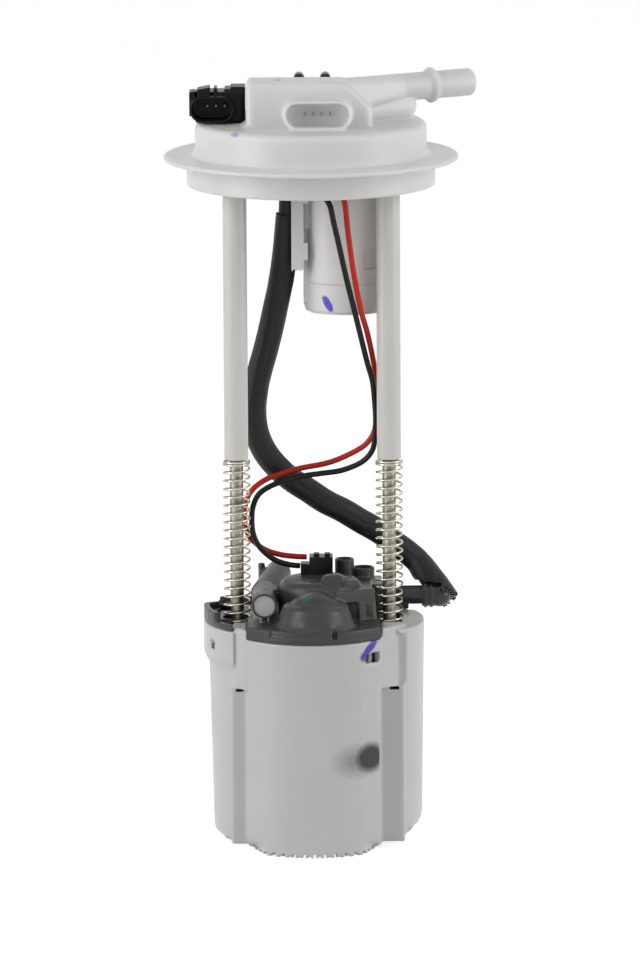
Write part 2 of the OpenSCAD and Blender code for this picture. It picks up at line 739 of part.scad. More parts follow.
module coil_spring() {
    per_turn = 10;
    sides = 5;
    n = spring_turns * per_turn;
    mean = (spring_d - spring_wire) / 2;
    low = seat_z + spring_wire / 2 + fit_gap;
    high = tube_foot_z - part_gap - spring_wire / 2;
    points = [for (i = [0:n], k = [0:sides - 1])
        let (a = 360 * i / per_turn, b = 360 * k / sides, r = mean + spring_wire / 2 * cos(b))
        [r * cos(a), r * sin(a), coil_z(i / per_turn, low, high) + spring_wire / 2 * sin(b)]];
    walls = [for (i = [0:n - 1], k = [0:sides - 1])
        [i * sides + k, (i + 1) * sides + k, (i + 1) * sides + (k + 1) % sides, i * sides + (k + 1) % sides]];
    start = [for (k = [0:sides - 1]) k];
    finish = [for (k = [sides - 1:-1:0]) n * sides + k];
    polyhedron(points, concat([start, finish], walls), convexity = 20);
}

module left_spring() {
    color("#a7a294") translate([-rod_x, rod_y, 0]) coil_spring();
}

module right_spring() {
    color("#a7a294") translate([rod_x, rod_y, 0]) coil_spring();
}

module fuel_hose() {
    color("#18181a") swept(hose_route, hose_r, 10);
}

module hose_sleeve() {
    color("#222224") swept_shell(concat([for (i = [1:len(hose_route) - 2]) hose_route[i]], [sleeve_end]), sleeve_r, sleeve_bore, 12);
}

// Moulded elbow between the outlet nipple and the hose, with a crimped cuff
module hose_elbow() {
    last = hose_route[len(hose_route) - 1];
    color("#1b1c20")
        difference() {
            union() {
                rod_between(elbow_at - [elbow_at[0] - nipple_at[0] - nipple_len + 6, 0, 0], elbow_at, 5.4);
                for (x = [1, 3.6])
                    translate([nipple_at[0] + nipple_len - 6 + x, elbow_at[1], elbow_at[2]])
                        rotate([0, 90, 0]) cylinder(h = 1.4, r = 6);
                translate(elbow_at) sphere(5.6);
                rod_between(elbow_at, last - part_gap * unit(last - elbow_at), hose_r);
            }
            translate([nipple_at[0] + nipple_len - 8, elbow_at[1], elbow_at[2]])
                rotate([0, 90, 0]) cylinder(h = 8.1, r = nipple_d / 2 + fit_gap);
        }
}

module black_wire() {
    color("#1c1c1c") swept(black_route, wire_r, 8);
}

module red_wire() {
    color("#b3261e") swept(red_route, wire_r, 8);
}

// Plug on the pump's terminals, with two latch bumps on top
module pump_plug() {
    z = boss_top + 0.1;
    color("#1e201f")
        difference() {
            union() {
                block([plug_x[0], plug_y[0], z], [plug_x[1], plug_y[1], z + plug_h]);
                block([plug_x[0] - 4, plug_y[0] + 1, z], [plug_x[0], plug_y[1] - 1, z + 4.6]);
                for (x = [plug_x[0] + 2, plug_x[0] + 7])
                    block([x, plug_y[0] + 3, z + plug_h], [x + 2.6, plug_y[1] - 3, z + plug_h + 1.2]);
            }
            pump_blades(fit_gap);
        }
}

// Turned shell outline with a rounded foot edge of radius f
module turned_shell(low, high, f) {
    arc = [for (a = [-90:15:0]) [low - f + f * cos(a), foot_h + f + f * sin(a)]];
    rotate_extrude() polygon(concat([[0, foot_h]], arc, [[high, shell_h], [0, shell_h]]));
}

// Reservoir walls before hollowing
module reservoir_outside() {
    turned_shell(body_r_low, body_r, foot_round);
    translate([0, -front_y, 0]) cylinder(h = front_top, r1 = front_r_low, r2 = front_r);
    intersection() {
        turned_shell(lobe_r - lobe_draft, lobe_r, lobe_round);
        block([lobe_edge_x, -27.5, 0], [60, 19.5, shell_h]);
    }
    intersection() {
        translate([0, 0, band_z - band_taper]) {
            cylinder(h = band_taper, r1 = body_r_low, r2 = band_r);
            translate([0, 0, band_taper]) cylinder(h = shell_h - band_z, r = band_r);
        }
        block([-60, -36, 0], [-36, 30, shell_h]);
    }
    translate([0, 0, channel_foot_z])
        linear_extrude(foot_h + foot_round)
            intersection() {
                circle(body_r_low - foot_round);
                for (s = [-1, 1]) channel_plan(s, shell_wall);
            }
}

// Space inside the walls
module reservoir_inside() {
    h = shell_h - floor_z + sliver;
    slope = body_draft * floor_t / (shell_h - foot_h);
    front_slope = front_draft * floor_z / front_top;
    translate([0, 0, floor_z]) cylinder(h = h, r1 = body_r_low + slope - shell_wall, r2 = body_r - shell_wall);
    translate([0, -front_y, floor_z])
        cylinder(h = h, r1 = front_r_low + front_slope - shell_wall, r2 = front_r - shell_wall);
    intersection() {
        translate([0, 0, floor_z])
            cylinder(h = h, r1 = lobe_r - lobe_draft - shell_wall, r2 = lobe_r - shell_wall);
        block([lobe_edge_x - 4, -27.5 + shell_wall, floor_z], [60, 19.5 - shell_wall, shell_h - shell_wall]);
    }
}

// Plan of one rod channel, grown by w: round end at the rod and a slot to the front
module channel_plan(side, w) {
    slot = side < 0 ? left_slot : right_slot;
    translate([side * rod_x, rod_y]) circle(channel_r + w);
    translate([slot[0] - w, -60]) square([slot[1] - slot[0] + 2 * w, 60 + rod_y]);
}

// Snap windows in the wall: one in the front, one in the left lobe, two at the back
module at_windows() {
    $wall = shell_wall;
    translate([0, -front_y, 0]) rotate([0, 0, front_window_turn - 90]) translate([front_r, 0, 0]) children();
    for (a = [60, 120]) rotate([0, 0, a]) translate([body_r, 0, 0]) children();
    rotate([0, 0, left_window_turn]) translate([band_r, 0, 0]) {
        $wall = shell_wall + band_r - body_r;
        children();
    }
}

module reservoir() {
    color("#ededea")
        difference() {
            union() {
                difference() {
                    union() {
                        reservoir_outside();
                        for (s = [-1, 1])
                            translate([s * rear_foot[0], rear_foot[1], 0]) cylinder(h = foot_h + 1, r = rear_foot_r);
                        block([sender_at[0] - pad_w / 2 - 14, 38, pad_z], [sender_at[0] + pad_w / 2 - 14, pad_y, shell_h - 4]);
                    }
                    difference() {
                        reservoir_inside();
                        for (s = [-1, 1]) translate([0, 0, foot_h]) linear_extrude(shell_h) channel_plan(s, shell_wall);
                    }
                    for (s = [-1, 1]) translate([0, 0, -1]) linear_extrude(shell_h + 2) channel_plan(s, 0);
                    translate([0, -front_y, -1]) cylinder(h = foot_h + 1, r = front_r_low - foot_wall);
                }
                at_rods() translate([0, 0, socket_bottom]) cylinder(h = seat_z - socket_bottom, r = socket_r);
            }
            at_rods() translate([0, 0, socket_bottom - 1]) cylinder(h = socket_len + 2, r = rod_r + 0.1);
            at_windows() block([-$wall - 2, -window_w / 2, window_z], [4, window_w / 2, window_z + window_h]);
            for (i = [0:teeth - 1])
                translate([0, -front_y, -1])
                    rotate([0, 0, 360 * (i + 0.5) / teeth])
                        block([front_r_low - foot_wall - 1, -tooth_gap_w / 2, 0], [front_r + 2, tooth_gap_w / 2, 1 + tooth_gap_h]);
            translate([-22, 24, 0]) cylinder(h = floor_z + 1, r = 2.1);
            for (a = [0:60:300]) translate([-22, 24, 0]) rotate([0, 0, a]) translate([4.6, 0, 0]) cylinder(h = floor_z + 1, r = 1.3);
            reservoir_top_trim();
            at_rods() translate([0, 0, seat_z]) cylinder(h = shell_h, r = socket_r + socket_clear);
        }
}

// Space above the shell's front edge, which is lower than its lobes
module reservoir_top_trim() {
    translate([0, 0, front_top])
        linear_extrude(shell_h)
            difference() {
                translate([0, -front_y]) circle(front_r + 2);
                circle(body_r - shell_wall);
                for (s = [-1, 1]) translate([s * rod_x, rod_y]) circle(socket_r);
            }
}

// Plan of the cover
module cover_plan() {
    difference() {
        union() {
            intersection() {
                circle(cover_r);
                translate([-60, -60]) square([60 + cover_edge_x, 120]);
            }
            intersection() {
                circle(cover_r);
                translate([0, 20]) square([60, 60]);
            }
            intersection() {
                circle(cover_band_r);
                translate([-60, -36]) square([24, 66]);
            }
            translate([0, -front_y]) circle(cover_front_r);
        }
        for (s = [-1, 1]) translate([s * rod_x, rod_y]) circle(socket_r + socket_clear);
        translate([left_slot[0] - 0.3, -60]) square([left_slot[1] - left_slot[0] + 0.3, 60 + rod_y]);
        translate([right_slot[0], -60]) square([30, 60 + rod_y]);
    }
}

// Dome turned from an arc, with a straight foot below it
module dome(r, foot) {
    arc = [for (a = [0:7.5:90]) r * [cos(a), sin(a)]];
    rotate_extrude() polygon(concat([[0, -foot], [r, -foot]], arc));
}

// Boss over the pump, with a rounded top edge
module pump_boss() {
    arc = [for (a = [0:15:90]) [boss_r - boss_round + boss_round * cos(a), boss_top - boss_round + boss_round * sin(a)]];
    translate([boss_at[0], boss_at[1], 0])
        rotate_extrude() polygon(concat([[0, plate_z], [boss_r, plate_z]], arc, [[0, boss_top]]));
}

// Return tube along the left of the boss: a straight run on a web from the front and a rising run behind
module return_tube(r) {
    rise = unit(return_end - return_elbow);
    rod_between(return_at, return_elbow, r);
    rod_between(return_elbow - 3 * rise, return_end, r + 0.2);
    block([return_at[0] - 1.2, return_at[1] + 2, plate_z + 1], [return_at[0] + 1.2, return_elbow[1], return_at[2] - r + 0.5]);
}

// Hook on the front of the boss that holds the wires
module wire_hook() {
    hull() {
        block([5.5, -26, boss_top - 8], [12.5, -21.5, boss_top - 1]);
        block([6.5, -25.5, boss_top], [12, -21.5, boss_top + 1]);
    }
    hull() {
        translate([6.5, -26, boss_top + 1]) rotate([-90, 0, 0]) cylinder(h = 5.5, r = 3, $fn = 32);
        translate([11, -26, boss_top + 2]) rotate([-90, 0, 0]) cylinder(h = 5.5, r = 2.4, $fn = 32);
        block([14, -24, boss_top + 1], [15.5, -20.5, boss_top + 2.4]);
    }
}

// Raised block right of the boss: a narrow front beside the spring, with a ribbed recess, and a wide back
module side_block() {
    difference() {
        union() {
            hull() {
                block([block_x[0], block_y[0], plate_z], [block_front_x, block_y[1], plate_top + 2]);
                block([block_x[0], block_y[0] + 2, plate_top], [block_front_x - 1, block_y[1] - 4, block_top]);
            }
            hull() {
                block([block_x[0], block_mid_y, plate_z], [block_x[1], block_y[1], plate_top + 2]);
                block([block_x[0], block_mid_y + 1, plate_top], [block_x[1] - 2, block_y[1] - 4, block_top]);
            }
        }
        block([17, block_y[0] - 1, plate_top], [block_front_x - 2, block_y[0] + 6, block_top - 3]);
    }
    block([21, block_y[0] + 1.2, plate_top], [22.2, block_y[0] + 7, block_top - 2]);
}

// Upright open ports on the cover
module ring_ports() {
    for (p = [[14.4, 12, 4.4, boss_top + 3.4], [23, 13, 5.3, boss_top - 0.4]])
        translate([p[0], p[1], plate_z]) {
            cylinder(h = p[3] - plate_z - 1.2, r = p[2] - 0.7);
            translate([0, 0, p[3] - plate_z - 3]) cylinder(h = 3, r = p[2]);
        }
}

module reservoir_cover() {
    color("#4a4b49")
        difference() {
            union() {
                translate([0, 0, plate_z]) linear_extrude(plate_t) cover_plan();
                translate([0, 0, front_top])
                    linear_extrude(plate_z - front_top + sliver)
                        intersection() {
                            cover_plan();
                            difference() {
                                translate([0, -front_y]) circle(cover_front_r);
                                circle(body_r + 0.3);
                            }
                        }
                translate([dome_at[0], dome_at[1], plate_top - 0.5]) dome(dome_r, 0);
                pump_boss();
                side_block();
                return_tube(return_d / 2);
                translate([return_end[0] - 5, return_end[1] - 1, plate_z]) cylinder(h = 19, r = 4.5);
                translate([return_end[0] - 8, return_end[1] + 1, plate_top + 15]) cylinder(h = 3.2, r = 1.6);
                ring_ports();
                wire_hook();
                left_pocket_wall();
                translate([block_x[1] - 2, nipple_at[1], nipple_at[2]]) rotate([0, 90, 0]) cylinder(h = 3, r = 6.2);
                snap_tabs();
            }
            translate([dome_at[0], dome_at[1], plate_top - 0.5]) dome(dome_r - 2, plate_t + 3);
            translate([pump_at[0], pump_at[1], plate_z - 1]) cylinder(h = boss_top - plate_z - 1.5, r = boss_r - boss_wall - 1.2);
            rod_between(return_at - return_dir, return_at + (return_plug_len + 3) * return_dir, return_plug_d / 2 + fit_gap);
            for (p = [[14.4, 12, 3.5], [23, 13, 4.3]])
                translate([p[0], p[1], block_top]) cylinder(h = 30, r = p[2]);
            nipple_root(fit_gap);
            left_pocket();
            for (x = [-18.2, 9.5]) block([x - 1, -60, plate_z], [x + 1, -48.5, plate_top - 1]);
            pump_blades(0.2);
        }
}

// Rim round the pocket on the left lobe, lower towards the front
module left_pocket_wall() {
    intersection() {
        difference() {
            translate([0, 0, plate_z]) cylinder(h = plate_t + 4, r = cover_band_r);
            translate([0, 0, plate_z - 1]) cylinder(h = plate_t + 6, r = cover_band_r - 2.6);
        }
        block([-60, -22, plate_z], [-36.2, 28, 120]);
        rotate([-9, 0, 0]) block([-60, -60, 0], [0, 60, plate_top + 3]);
    }
    intersection() {
        translate([0, 0, plate_z]) cylinder(h = plate_t + 2.5, r = cover_band_r - 0.5);
        block([-50, 24, plate_z], [-26, 27, 120]);
    }
}

// Pocket in the left lobe with an opening through the plate at its back
module left_pocket() {
    intersection() {
        translate([0, 0, plate_z + 1.2]) cylinder(h = 20, r = cover_band_r - 2.6);
        block([-60, -34, plate_z + 1.2], [-34, -18, 120]);
    }
    intersection() {
        translate([0, 0, plate_z + 1.2]) cylinder(h = 20, r = cover_band_r - 2.6);
        block([-60, -19, plate_z + 1.2], [-43, 24, 120]);
    }
    intersection() {
        translate([0, 0, plate_z - 1]) cylinder(h = 20, r = body_r - shell_wall - 0.4);
        block([-60, 3, plate_z - 1], [-36.5, 22, 120]);
    }
}

// Snap tabs that reach down inside the wall and hook into its windows
module snap_tabs() {
    half = window_w / 2 - 0.4;
    hook_top = window_z + window_h - 0.4;
    at_windows() {
        block([-$wall - 2.4, -half, window_z + 0.8], [-$wall - 0.5, half, plate_z + 0.5]);
        block([-$wall - 1, -half, window_z + 0.8], [-0.7, half, hook_top]);
    }
}

module return_tube_plug() {
    color("#d9d9dc")
        rod_between(return_at + 0.8 * return_dir, return_at + (0.8 + return_plug_len) * return_dir, return_plug_d / 2);
}

// Regulator under the dome: flange, can and domed cap
module pressure_regulator() {
    color("#b9b5a8")
        translate([dome_at[0], dome_at[1], 0]) {
            translate([0, 0, plate_z - 0.3]) cylinder(h = 6.3, r = dome_r - 5.5);
            translate([0, 0, plate_z + 4]) cylinder(h = 1.6, r = dome_r - 3.4);
            translate([0, 0, plate_z + 5]) cylinder(h = 7.6, r1 = 8, r2 = 6);
        }
}

// Root of the nipple, pressed into the cover
module nipple_root(gap) {
    translate([nipple_at[0] - 7, nipple_at[1], nipple_at[2]]) rotate([0, 90, 0]) cylinder(h = 9, r = nipple_d / 2 + gap);
}

module outlet_nipple() {
    color("#26282c")
        difference() {
            union() {
                nipple_root(0);
                translate([nipple_at[0], nipple_at[1], nipple_at[2]])
                    rotate([0, 90, 0]) {
                        translate([0, 0, 1.5]) cylinder(h = 1.5, r = nipple_d / 2 + 1);
                        cylinder(h = nipple_len, r = nipple_d / 2);
                    }
            }
            translate([nipple_at[0] - 8, nipple_at[1], nipple_at[2]]) rotate([0, 90, 0]) cylinder(h = 45, r = nipple_d / 2 - 1.4);
        }
}

// Places children on the pump's axis
module at_pump() {
    translate([pump_at[0], pump_at[1], 0]) children();
}

// Places children on the axis of the outlet check valve
module at_poppet() {
    at_pump() rotate([0, 0, outlet_turn]) translate([8, 0, 0]) children();
}

module pump_housing() {
    color("#b8b8b4")
        at_pump()
            difference() {
                translate([0, 0, can_z]) cylinder(h = can_h, r = pump_r);
                translate([0, 0, can_z - 1]) cylinder(h = can_h + 2, r = can_in_r);
            }
}

module pump_end_cap() {
    color("#2d2d2f")
        difference() {
            union() {
                at_pump() translate([0, 0, can_top - 8]) cylinder(h = 8, r = can_in_r - fit_gap);
                at_pump() translate([0, 0, can_top + 0.05]) cylinder(h = end_cap_top - can_top - 4, r = pump_r);
                at_pump() translate([0, 0, can_top]) cylinder(h = end_cap_top - can_top, r = boss_r - boss_wall - 2);
                at_pump() rotate([0, 0, outlet_turn]) translate([14, 0, outlet_z]) rotate([0, 90, 0]) cylinder(h = outlet_reach - 14, r = 2.9);
            }
            at_pump() translate([0, 0, can_top - 9]) cylinder(h = 7, r = shaft_r + fit_gap);
            at_poppet() translate([0, 0, can_top - 9]) cylinder(h = 9, r = 1.8);
            at_poppet() translate([0, 0, can_top - 5.3]) cylinder(h = 30, r = poppet_r + 0.4);
            at_pump() rotate([0, 0, outlet_turn]) translate([8, 0, outlet_z]) rotate([0, 90, 0]) cylinder(h = 15, r = 1.8);
            pump_blades(fit_gap);
        }
}

module pump_inlet_plate() {
    color("#c4c4c0")
        at_pump()
            difference() {
                union() {
                    translate([0, 0, can_z]) cylinder(h = 5.6, r = can_in_r - fit_gap);
                    translate([9, 0, can_z - 4]) cylinder(h = 5, r = 4);
                }
                translate([0, 0, can_z + 2]) cylinder(h = 6, r = shaft_r + fit_gap);
                translate([9, 0, can_z - 5]) cylinder(h = 12, r = 2.8);
            }
}

// Two curved magnets inside the can
module pump_magnets() {
    color("#3a3a3c")
        at_pump()
            difference() {
                translate([0, 0, core_z]) cylinder(h = core_h, r = can_in_r - fit_gap);
                translate([0, 0, core_z - 1]) cylinder(h = core_h + 2, r = armature_d / 2 + magnet_gap);
                block([-3, -30, core_z - 1], [3, 30, core_z + core_h + 1]);
            }
}

// Slotted armature with its commutator above
module pump_armature() {
    color("#a0663c")
        at_pump()
            difference() {
                union() {
                    translate([0, 0, core_z + 2]) cylinder(h = core_h - 4, d = armature_d);
                    translate([0, 0, core_z + core_h - 3]) cylinder(h = 9, d = armature_d * 0.55);
                }
                translate([0, 0, core_z]) cylinder(h = core_h + 20, r = shaft_r + 0.02);
                for (a = [0:45:315])
                    rotate([0, 0, a]) block([armature_d / 2 - 3, -0.6, core_z], [armature_d, 0.6, core_z + core_h]);
            }
}

module pump_shaft() {
    color("#c8c8c4")
        at_pump() translate([0, 0, can_z + 2.4]) cylinder(h = can_top - 3 - can_z - 2.4, r = shaft_r);
}

// Turbine impeller with a row of vane pockets at its edge
module pump_impeller() {
    vanes = 24;
    color("#d8cfae")
        at_pump()
            difference() {
                translate([0, 0, impeller_z]) cylinder(h = impeller_t, d = impeller_d);
                translate([0, 0, impeller_z - 1]) cylinder(h = impeller_t + 2, r = shaft_r + 0.02);
                for (i = [0:vanes - 1])
                    rotate([0, 0, 360 * i / vanes])
                        block([impeller_d / 2 - 3, -1, impeller_z - 1], [impeller_d / 2 + 1, 1, impeller_z + impeller_t + 1]);
            }
}

// Two blades from the pump's end cap up through the boss into the plug
module pump_blades(gap) {
    for (x = [plug_x[0] + 2.4, plug_x[1] - 2.6])
        block([x - 1.2 - gap, 3.1 - gap, can_top - 4 - gap], [x + 1.2 + gap, 3.9 + gap, boss_top + 5 + gap]);
}

module pump_terminals() {
    color("#c9b27a") pump_blades(0);
}

// Rubber boot with feet that carries the pump on the reservoir's floor
module pump_isolator() {
    color("#2c2c2e")
        at_pump() {
            difference() {
                translate([0, 0, can_z - 3]) cylinder(h = 12, r = pump_r + 1.6);
                translate([0, 0, can_z]) cylinder(h = 12, r = pump_r + fit_gap);
                translate([0, 0, can_z - 4]) cylinder(h = 12, r = pump_r - 2.5);
            }
            for (a = [90, 210, 330]) rotate([0, 0, a]) translate([pump_r - 0.6, 0, floor_z]) cylinder(h = can_z - 3 - floor_z + 1, r = 2);
        }
}

module pump_strainer() {
    color("#d7d3c3")
        at_pump() {
            translate([0, 0, floor_z + 0.6]) cylinder(h = 3.4, r = 14.5);
            translate([9, 0, floor_z + 3]) cylinder(h = can_z - 4 - floor_z - 3, r = 3.6);
        }
}

// Poppet of the outlet check valve, in its chamber in the end cap
module check_valve_poppet() {
    color("#c9c4b4")
        at_poppet() {
            translate([0, 0, can_top - 5]) cylinder(h = 3.6, r = poppet_r);
            translate([0, 0, can_top - 1.6]) cylinder(h = 2.6, r = 1.2);
        }
}

// Filter canister with rolled end caps, standing on the reservoir's floor
module fuel_filter() {
    color("#cfd0cc")
        translate([filter_at[0], filter_at[1], floor_z]) {
            cylinder(h = filter_h, r = 13);
            cylinder(h = 3, r = 13.6);
            translate([0, 0, filter_h - 3]) cylinder(h = 3, r = 13.6);
        }
}

module filter_pipe() {
    out = [cos(outlet_turn), sin(outlet_turn), 0];
    root = [pump_at[0], pump_at[1], outlet_z];
    bend = root + (outlet_reach + 3) * out;
    over = [filter_at[0], filter_at[1] - 3, outlet_z];
    color("#2d2d2f") {
        rod_between(root + (outlet_reach + part_gap) * out, bend, 2.8);
        translate(bend) sphere(2.9);
        rod_between(bend, over, 2.8);
        translate(over) sphere(2.9);
        translate([over[0], over[1], floor_z + filter_h]) cylinder(h = outlet_z - floor_z - filter_h, r = 2.8);
    }
}

// Jet pump on the floor: nozzle body and flared mixing tube
module jet_pump() {
    color("#dedcd2")
        translate([-34, 1, floor_z + 4.2])
            rotate([0, 90, 35]) {
                cylinder(h = 8, r = 4.2);
                translate([0, 0, 8]) cylinder(h = 10, r1 = 2.6, r2 = 3.8);
            }
}

module inlet_umbrella_valve() {
    color("#3a3a3a")
        translate([-22, 24, 0]) {
            translate([0, 0, floor_z + 0.05]) cylinder(h = 1.4, r1 = 7.6, r2 = 5);
            translate([0, 0, foot_h - 2.2]) cylinder(h = floor_z - foot_h + 2.6, r = 2);
            translate([0, 0, foot_h - 2]) cylinder(h = 1.8, r1 = 2, r2 = 3);
        }
}

// Resistor card case on the back of the reservoir, with the arm's pivot pin
module level_sender() {
    color("#e3e1d8") {
        block([sender_at[0] - pad_w / 2 - 12, pad_y, sender_at[2] - 34], [sender_at[0] + pad_w / 2 - 16, pad_y + sender_t, sender_at[2] + 14]);
        translate([sender_at[0] - 4, pad_y, sender_at[2] - 8]) cube([16, sender_t, 16]);
        translate([sender_at[0], pad_y + sender_t - 1, sender_at[2]]) rotate([-90, 0, 0]) cylinder(h = hub_t + 2.2, r = 2);
        translate([sender_at[0], pad_y + sender_t + hub_t + 2 * part_gap, sender_at[2]]) rotate([-90, 0, 0]) cylinder(h = 1, r = 3);
    }
}

// Float arm: hub on the pivot pin and a bent wire to the float
module float_arm() {
    knee = [sender_at[0], arm_y, sender_at[2]] + 0.72 * (float_at - [sender_at[0], arm_y, sender_at[2]]);
    color("#9b9890") {
        difference() {
            translate([sender_at[0], arm_y - hub_t / 2, sender_at[2]]) rotate([-90, 0, 0]) cylinder(h = hub_t, r = hub_r);
            translate([sender_at[0], arm_y - hub_t, sender_at[2]]) rotate([-90, 0, 0]) cylinder(h = 2 * hub_t, r = 2 + fit_gap);
        }
        rod_between([sender_at[0], arm_y, sender_at[2]] + 4 * [cos(arm_angle), 0, sin(arm_angle)], knee, arm_d / 2);
        translate(knee) sphere(arm_d / 2 + 0.1);
        rod_between(knee, float_at, arm_d / 2);
    }
}

// Float with rounded ends, clipped to the arm
module float() {
    color("#2b2b2d")
        difference() {
            translate([float_at[0], float_at[1], float_at[2]])
                rotate([-90, 0, 0])
                    translate([0, 0, -2.6]) linear_extrude(float_d) stadium(float_w, float_d);
            rod_between(float_at - 30 * [cos(arm_angle), 0, sin(arm_angle)], float_at, arm_d / 2 + fit_gap);
            translate(float_at) sphere(arm_d / 2 + fit_gap);
        }
}

flange();
flange_terminals();
flange_plug();
pressure_sensor();
sensor_terminals();
sensor_grommet();
feed_line_clip();
left_guide_tube();
right_guide_tube();
left_guide_rod();
right_guide_rod();
rod_clips();
vent_valve_body();
vent_valve_cap();
vent_valve_float();
hose_guide();
left_spring();
right_spring();
fuel_hose();
hose_sleeve();
hose_elbow();
black_wire();
red_wire();
pump_plug();
reservoir();
reservoir_cover();
return_tube_plug();
pressure_regulator();
outlet_nipple();
pump_housing();
pump_end_cap();
pump_inlet_plate();
pump_magnets();
pump_armature();
pump_shaft();
pump_impeller();
pump_terminals();
pump_isolator();
pump_strainer();
check_valve_poppet();
fuel_filter();
filter_pipe();
jet_pump();
inlet_umbrella_valve();
level_sender();
float_arm();
float();
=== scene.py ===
import bpy, bmesh, math, random
import numpy as np
from mathutils import Matrix, Vector


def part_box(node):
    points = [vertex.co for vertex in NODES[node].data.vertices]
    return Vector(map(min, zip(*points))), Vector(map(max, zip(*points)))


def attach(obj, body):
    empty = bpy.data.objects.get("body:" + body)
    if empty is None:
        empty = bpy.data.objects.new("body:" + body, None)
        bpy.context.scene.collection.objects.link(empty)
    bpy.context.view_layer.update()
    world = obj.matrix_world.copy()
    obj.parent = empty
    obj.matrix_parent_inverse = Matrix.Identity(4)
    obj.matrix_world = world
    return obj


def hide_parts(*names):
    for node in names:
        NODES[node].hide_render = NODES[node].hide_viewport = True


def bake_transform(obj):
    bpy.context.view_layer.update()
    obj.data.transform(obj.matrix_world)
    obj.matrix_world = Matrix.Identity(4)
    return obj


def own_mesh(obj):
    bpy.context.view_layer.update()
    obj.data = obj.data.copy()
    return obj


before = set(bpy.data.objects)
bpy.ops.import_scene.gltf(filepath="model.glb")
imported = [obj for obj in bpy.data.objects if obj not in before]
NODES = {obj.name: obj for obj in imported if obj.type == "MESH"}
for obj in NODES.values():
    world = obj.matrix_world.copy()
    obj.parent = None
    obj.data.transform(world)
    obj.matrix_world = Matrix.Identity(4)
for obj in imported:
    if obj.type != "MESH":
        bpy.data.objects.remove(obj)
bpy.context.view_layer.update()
MM = 0.001
scene = bpy.context.scene
scene.view_settings.view_transform = "Standard"

# Camera: tilt and roll, focal length and frame height in pixels, distance and aim in metres
PITCH = math.radians(10.1)
ROLL = math.radians(-0.32)
FOCAL_PX = 8700
FRAME_PX = 964
SENSOR = 36
DISTANCE = 4.0
AIM_X = 0.0033
AIM_Z = 0.16606
cam_data = bpy.data.cameras.new("camera")
cam_data.sensor_fit = "VERTICAL"
cam_data.sensor_height = SENSOR
cam_data.sensor_width = SENSOR
cam_data.lens = FOCAL_PX / FRAME_PX * SENSOR
cam_data.clip_start = 0.1
cam_data.clip_end = 60
cam = bpy.data.objects.new("camera", cam_data)
scene.collection.objects.link(cam)
cam.matrix_world = (
    Matrix.Translation((AIM_X, -DISTANCE * math.cos(PITCH), AIM_Z + DISTANCE * math.sin(PITCH)))
    @ Matrix.Rotation(math.pi / 2 - PITCH, 4, "X")
    @ Matrix.Rotation(ROLL, 4, "Z")
)
scene.camera = cam

# Routes, as in the model's source, in millimetres
HOSE = [(-10, 3, 301.4), (-10.5, 3, 290), (-12, 3.5, 273.5), (-14, 4, 259.5), (-16.5, 5, 247.5),
        (-19, 6.5, 236), (-21.5, 8, 226), (-24, 9, 217), (-26, 10, 207.5), (-27, 11, 198),
        (-26, 12, 188.5), (-23, 13, 180), (-18, 14, 172.5), (-10.5, 15.5, 165), (-2.5, 16.5, 159.5),
        (5.5, 17, 154), (14, 17.5, 149.5), (22, 18, 144.5), (30.5, 18, 139.5), (38, 17, 134),
        (44.5, 16.2, 129.2), (49, 14.7, 125), (51.4, 12.1, 121.6)]
BLACK_ROUTE = [(3.4, -14, 308), (3.4, -14, 306.6), (5.3, -16, 302), (8.5, -18, 297), (10, -17.5, 290),
               (12, -17, 281), (16, -16.5, 262.5), (20.5, -14, 243.5), (25, -10, 224), (27.5, -7, 214.5),
               (28.5, -5.5, 205), (29, -5, 195.5), (28.5, -4, 186), (27, -3, 180.5), (22.5, -1.5, 175.5),
               (13.5, 0, 171.5), (4, 0.5, 170), (-5.5, 1, 168.5), (-17, 2, 165), (-24.5, 2.5, 160.5),
               (-27.5, 3, 154.5), (-28.2, 3, 148.5), (-27.7, 3, 142), (-25.5, 3, 136.5),
               (-22, 2.5, 132.5), (-17, 2, 129), (-10.5, 2, 127), (-6, 2, 126.6)]
RED_ROUTE = [(7.2, -14, 308), (7.2, -14, 306.8), (11, -16.5, 303.5), (15, -18, 299), (16.5, -17.5, 286),
             (19, -17, 267), (22.5, -15, 248), (25, -12, 238.5), (27, -8, 229), (28.6, -4, 219),
             (29.2, -1.5, 209.5), (29.4, -1, 200), (28.6, 0, 190.5), (25.5, 1, 184.5), (20.5, 2, 180.5),
             (11.5, 3.2, 176), (4.5, 3.6, 173.8), (-5, 4, 172), (-14, 4, 169.5), (-21, 4, 167),
             (-27.5, 3, 162.5), (-31, 1, 156.5), (-31.5, 2, 147), (-29.5, 5, 140), (-26, 6.5, 136),
             (-21.5, 6.5, 133), (-15, 6.5, 131), (-8, 6, 130.2), (-3, 6, 130)]


def smooth_route(points, step):
    """Points in metres, about step millimetres apart, on a smooth curve through points in millimetres."""
    p = [Vector(q) for q in points]
    p = [p[0] * 2 - p[1]] + p + [p[-1] * 2 - p[-2]]
    out = []
    for i in range(1, len(p) - 2):
        a, b, c, d = p[i - 1], p[i], p[i + 1], p[i + 2]
        n = max(2, int((c - b).length / step + 0.5))
        for k in range(n):
            t = k / n
            out.append(0.5 * ((2 * b) + (c - a) * t + (2 * a - 5 * b + 4 * c - d) * t * t
                              + (3 * b - a - 3 * c + d) * t ** 3))
    out.append(p[-2])
    return [q * MM for q in out]


def frames(path):
    """A tangent, a normal and a side vector at each point, without twist."""
    n = len(path)
    out = []
    t0 = (path[1] - path[0]).normalized()
    u = t0.cross(Vector((0, 1, 0))).normalized()
    for i in range(n):
        t = (path[min(i + 1, n - 1)] - path[max(i - 1, 0)]).normalized()
        u = (u - t * u.dot(t)).normalized()
        out.append((t, u, t.cross(u)))
    return out


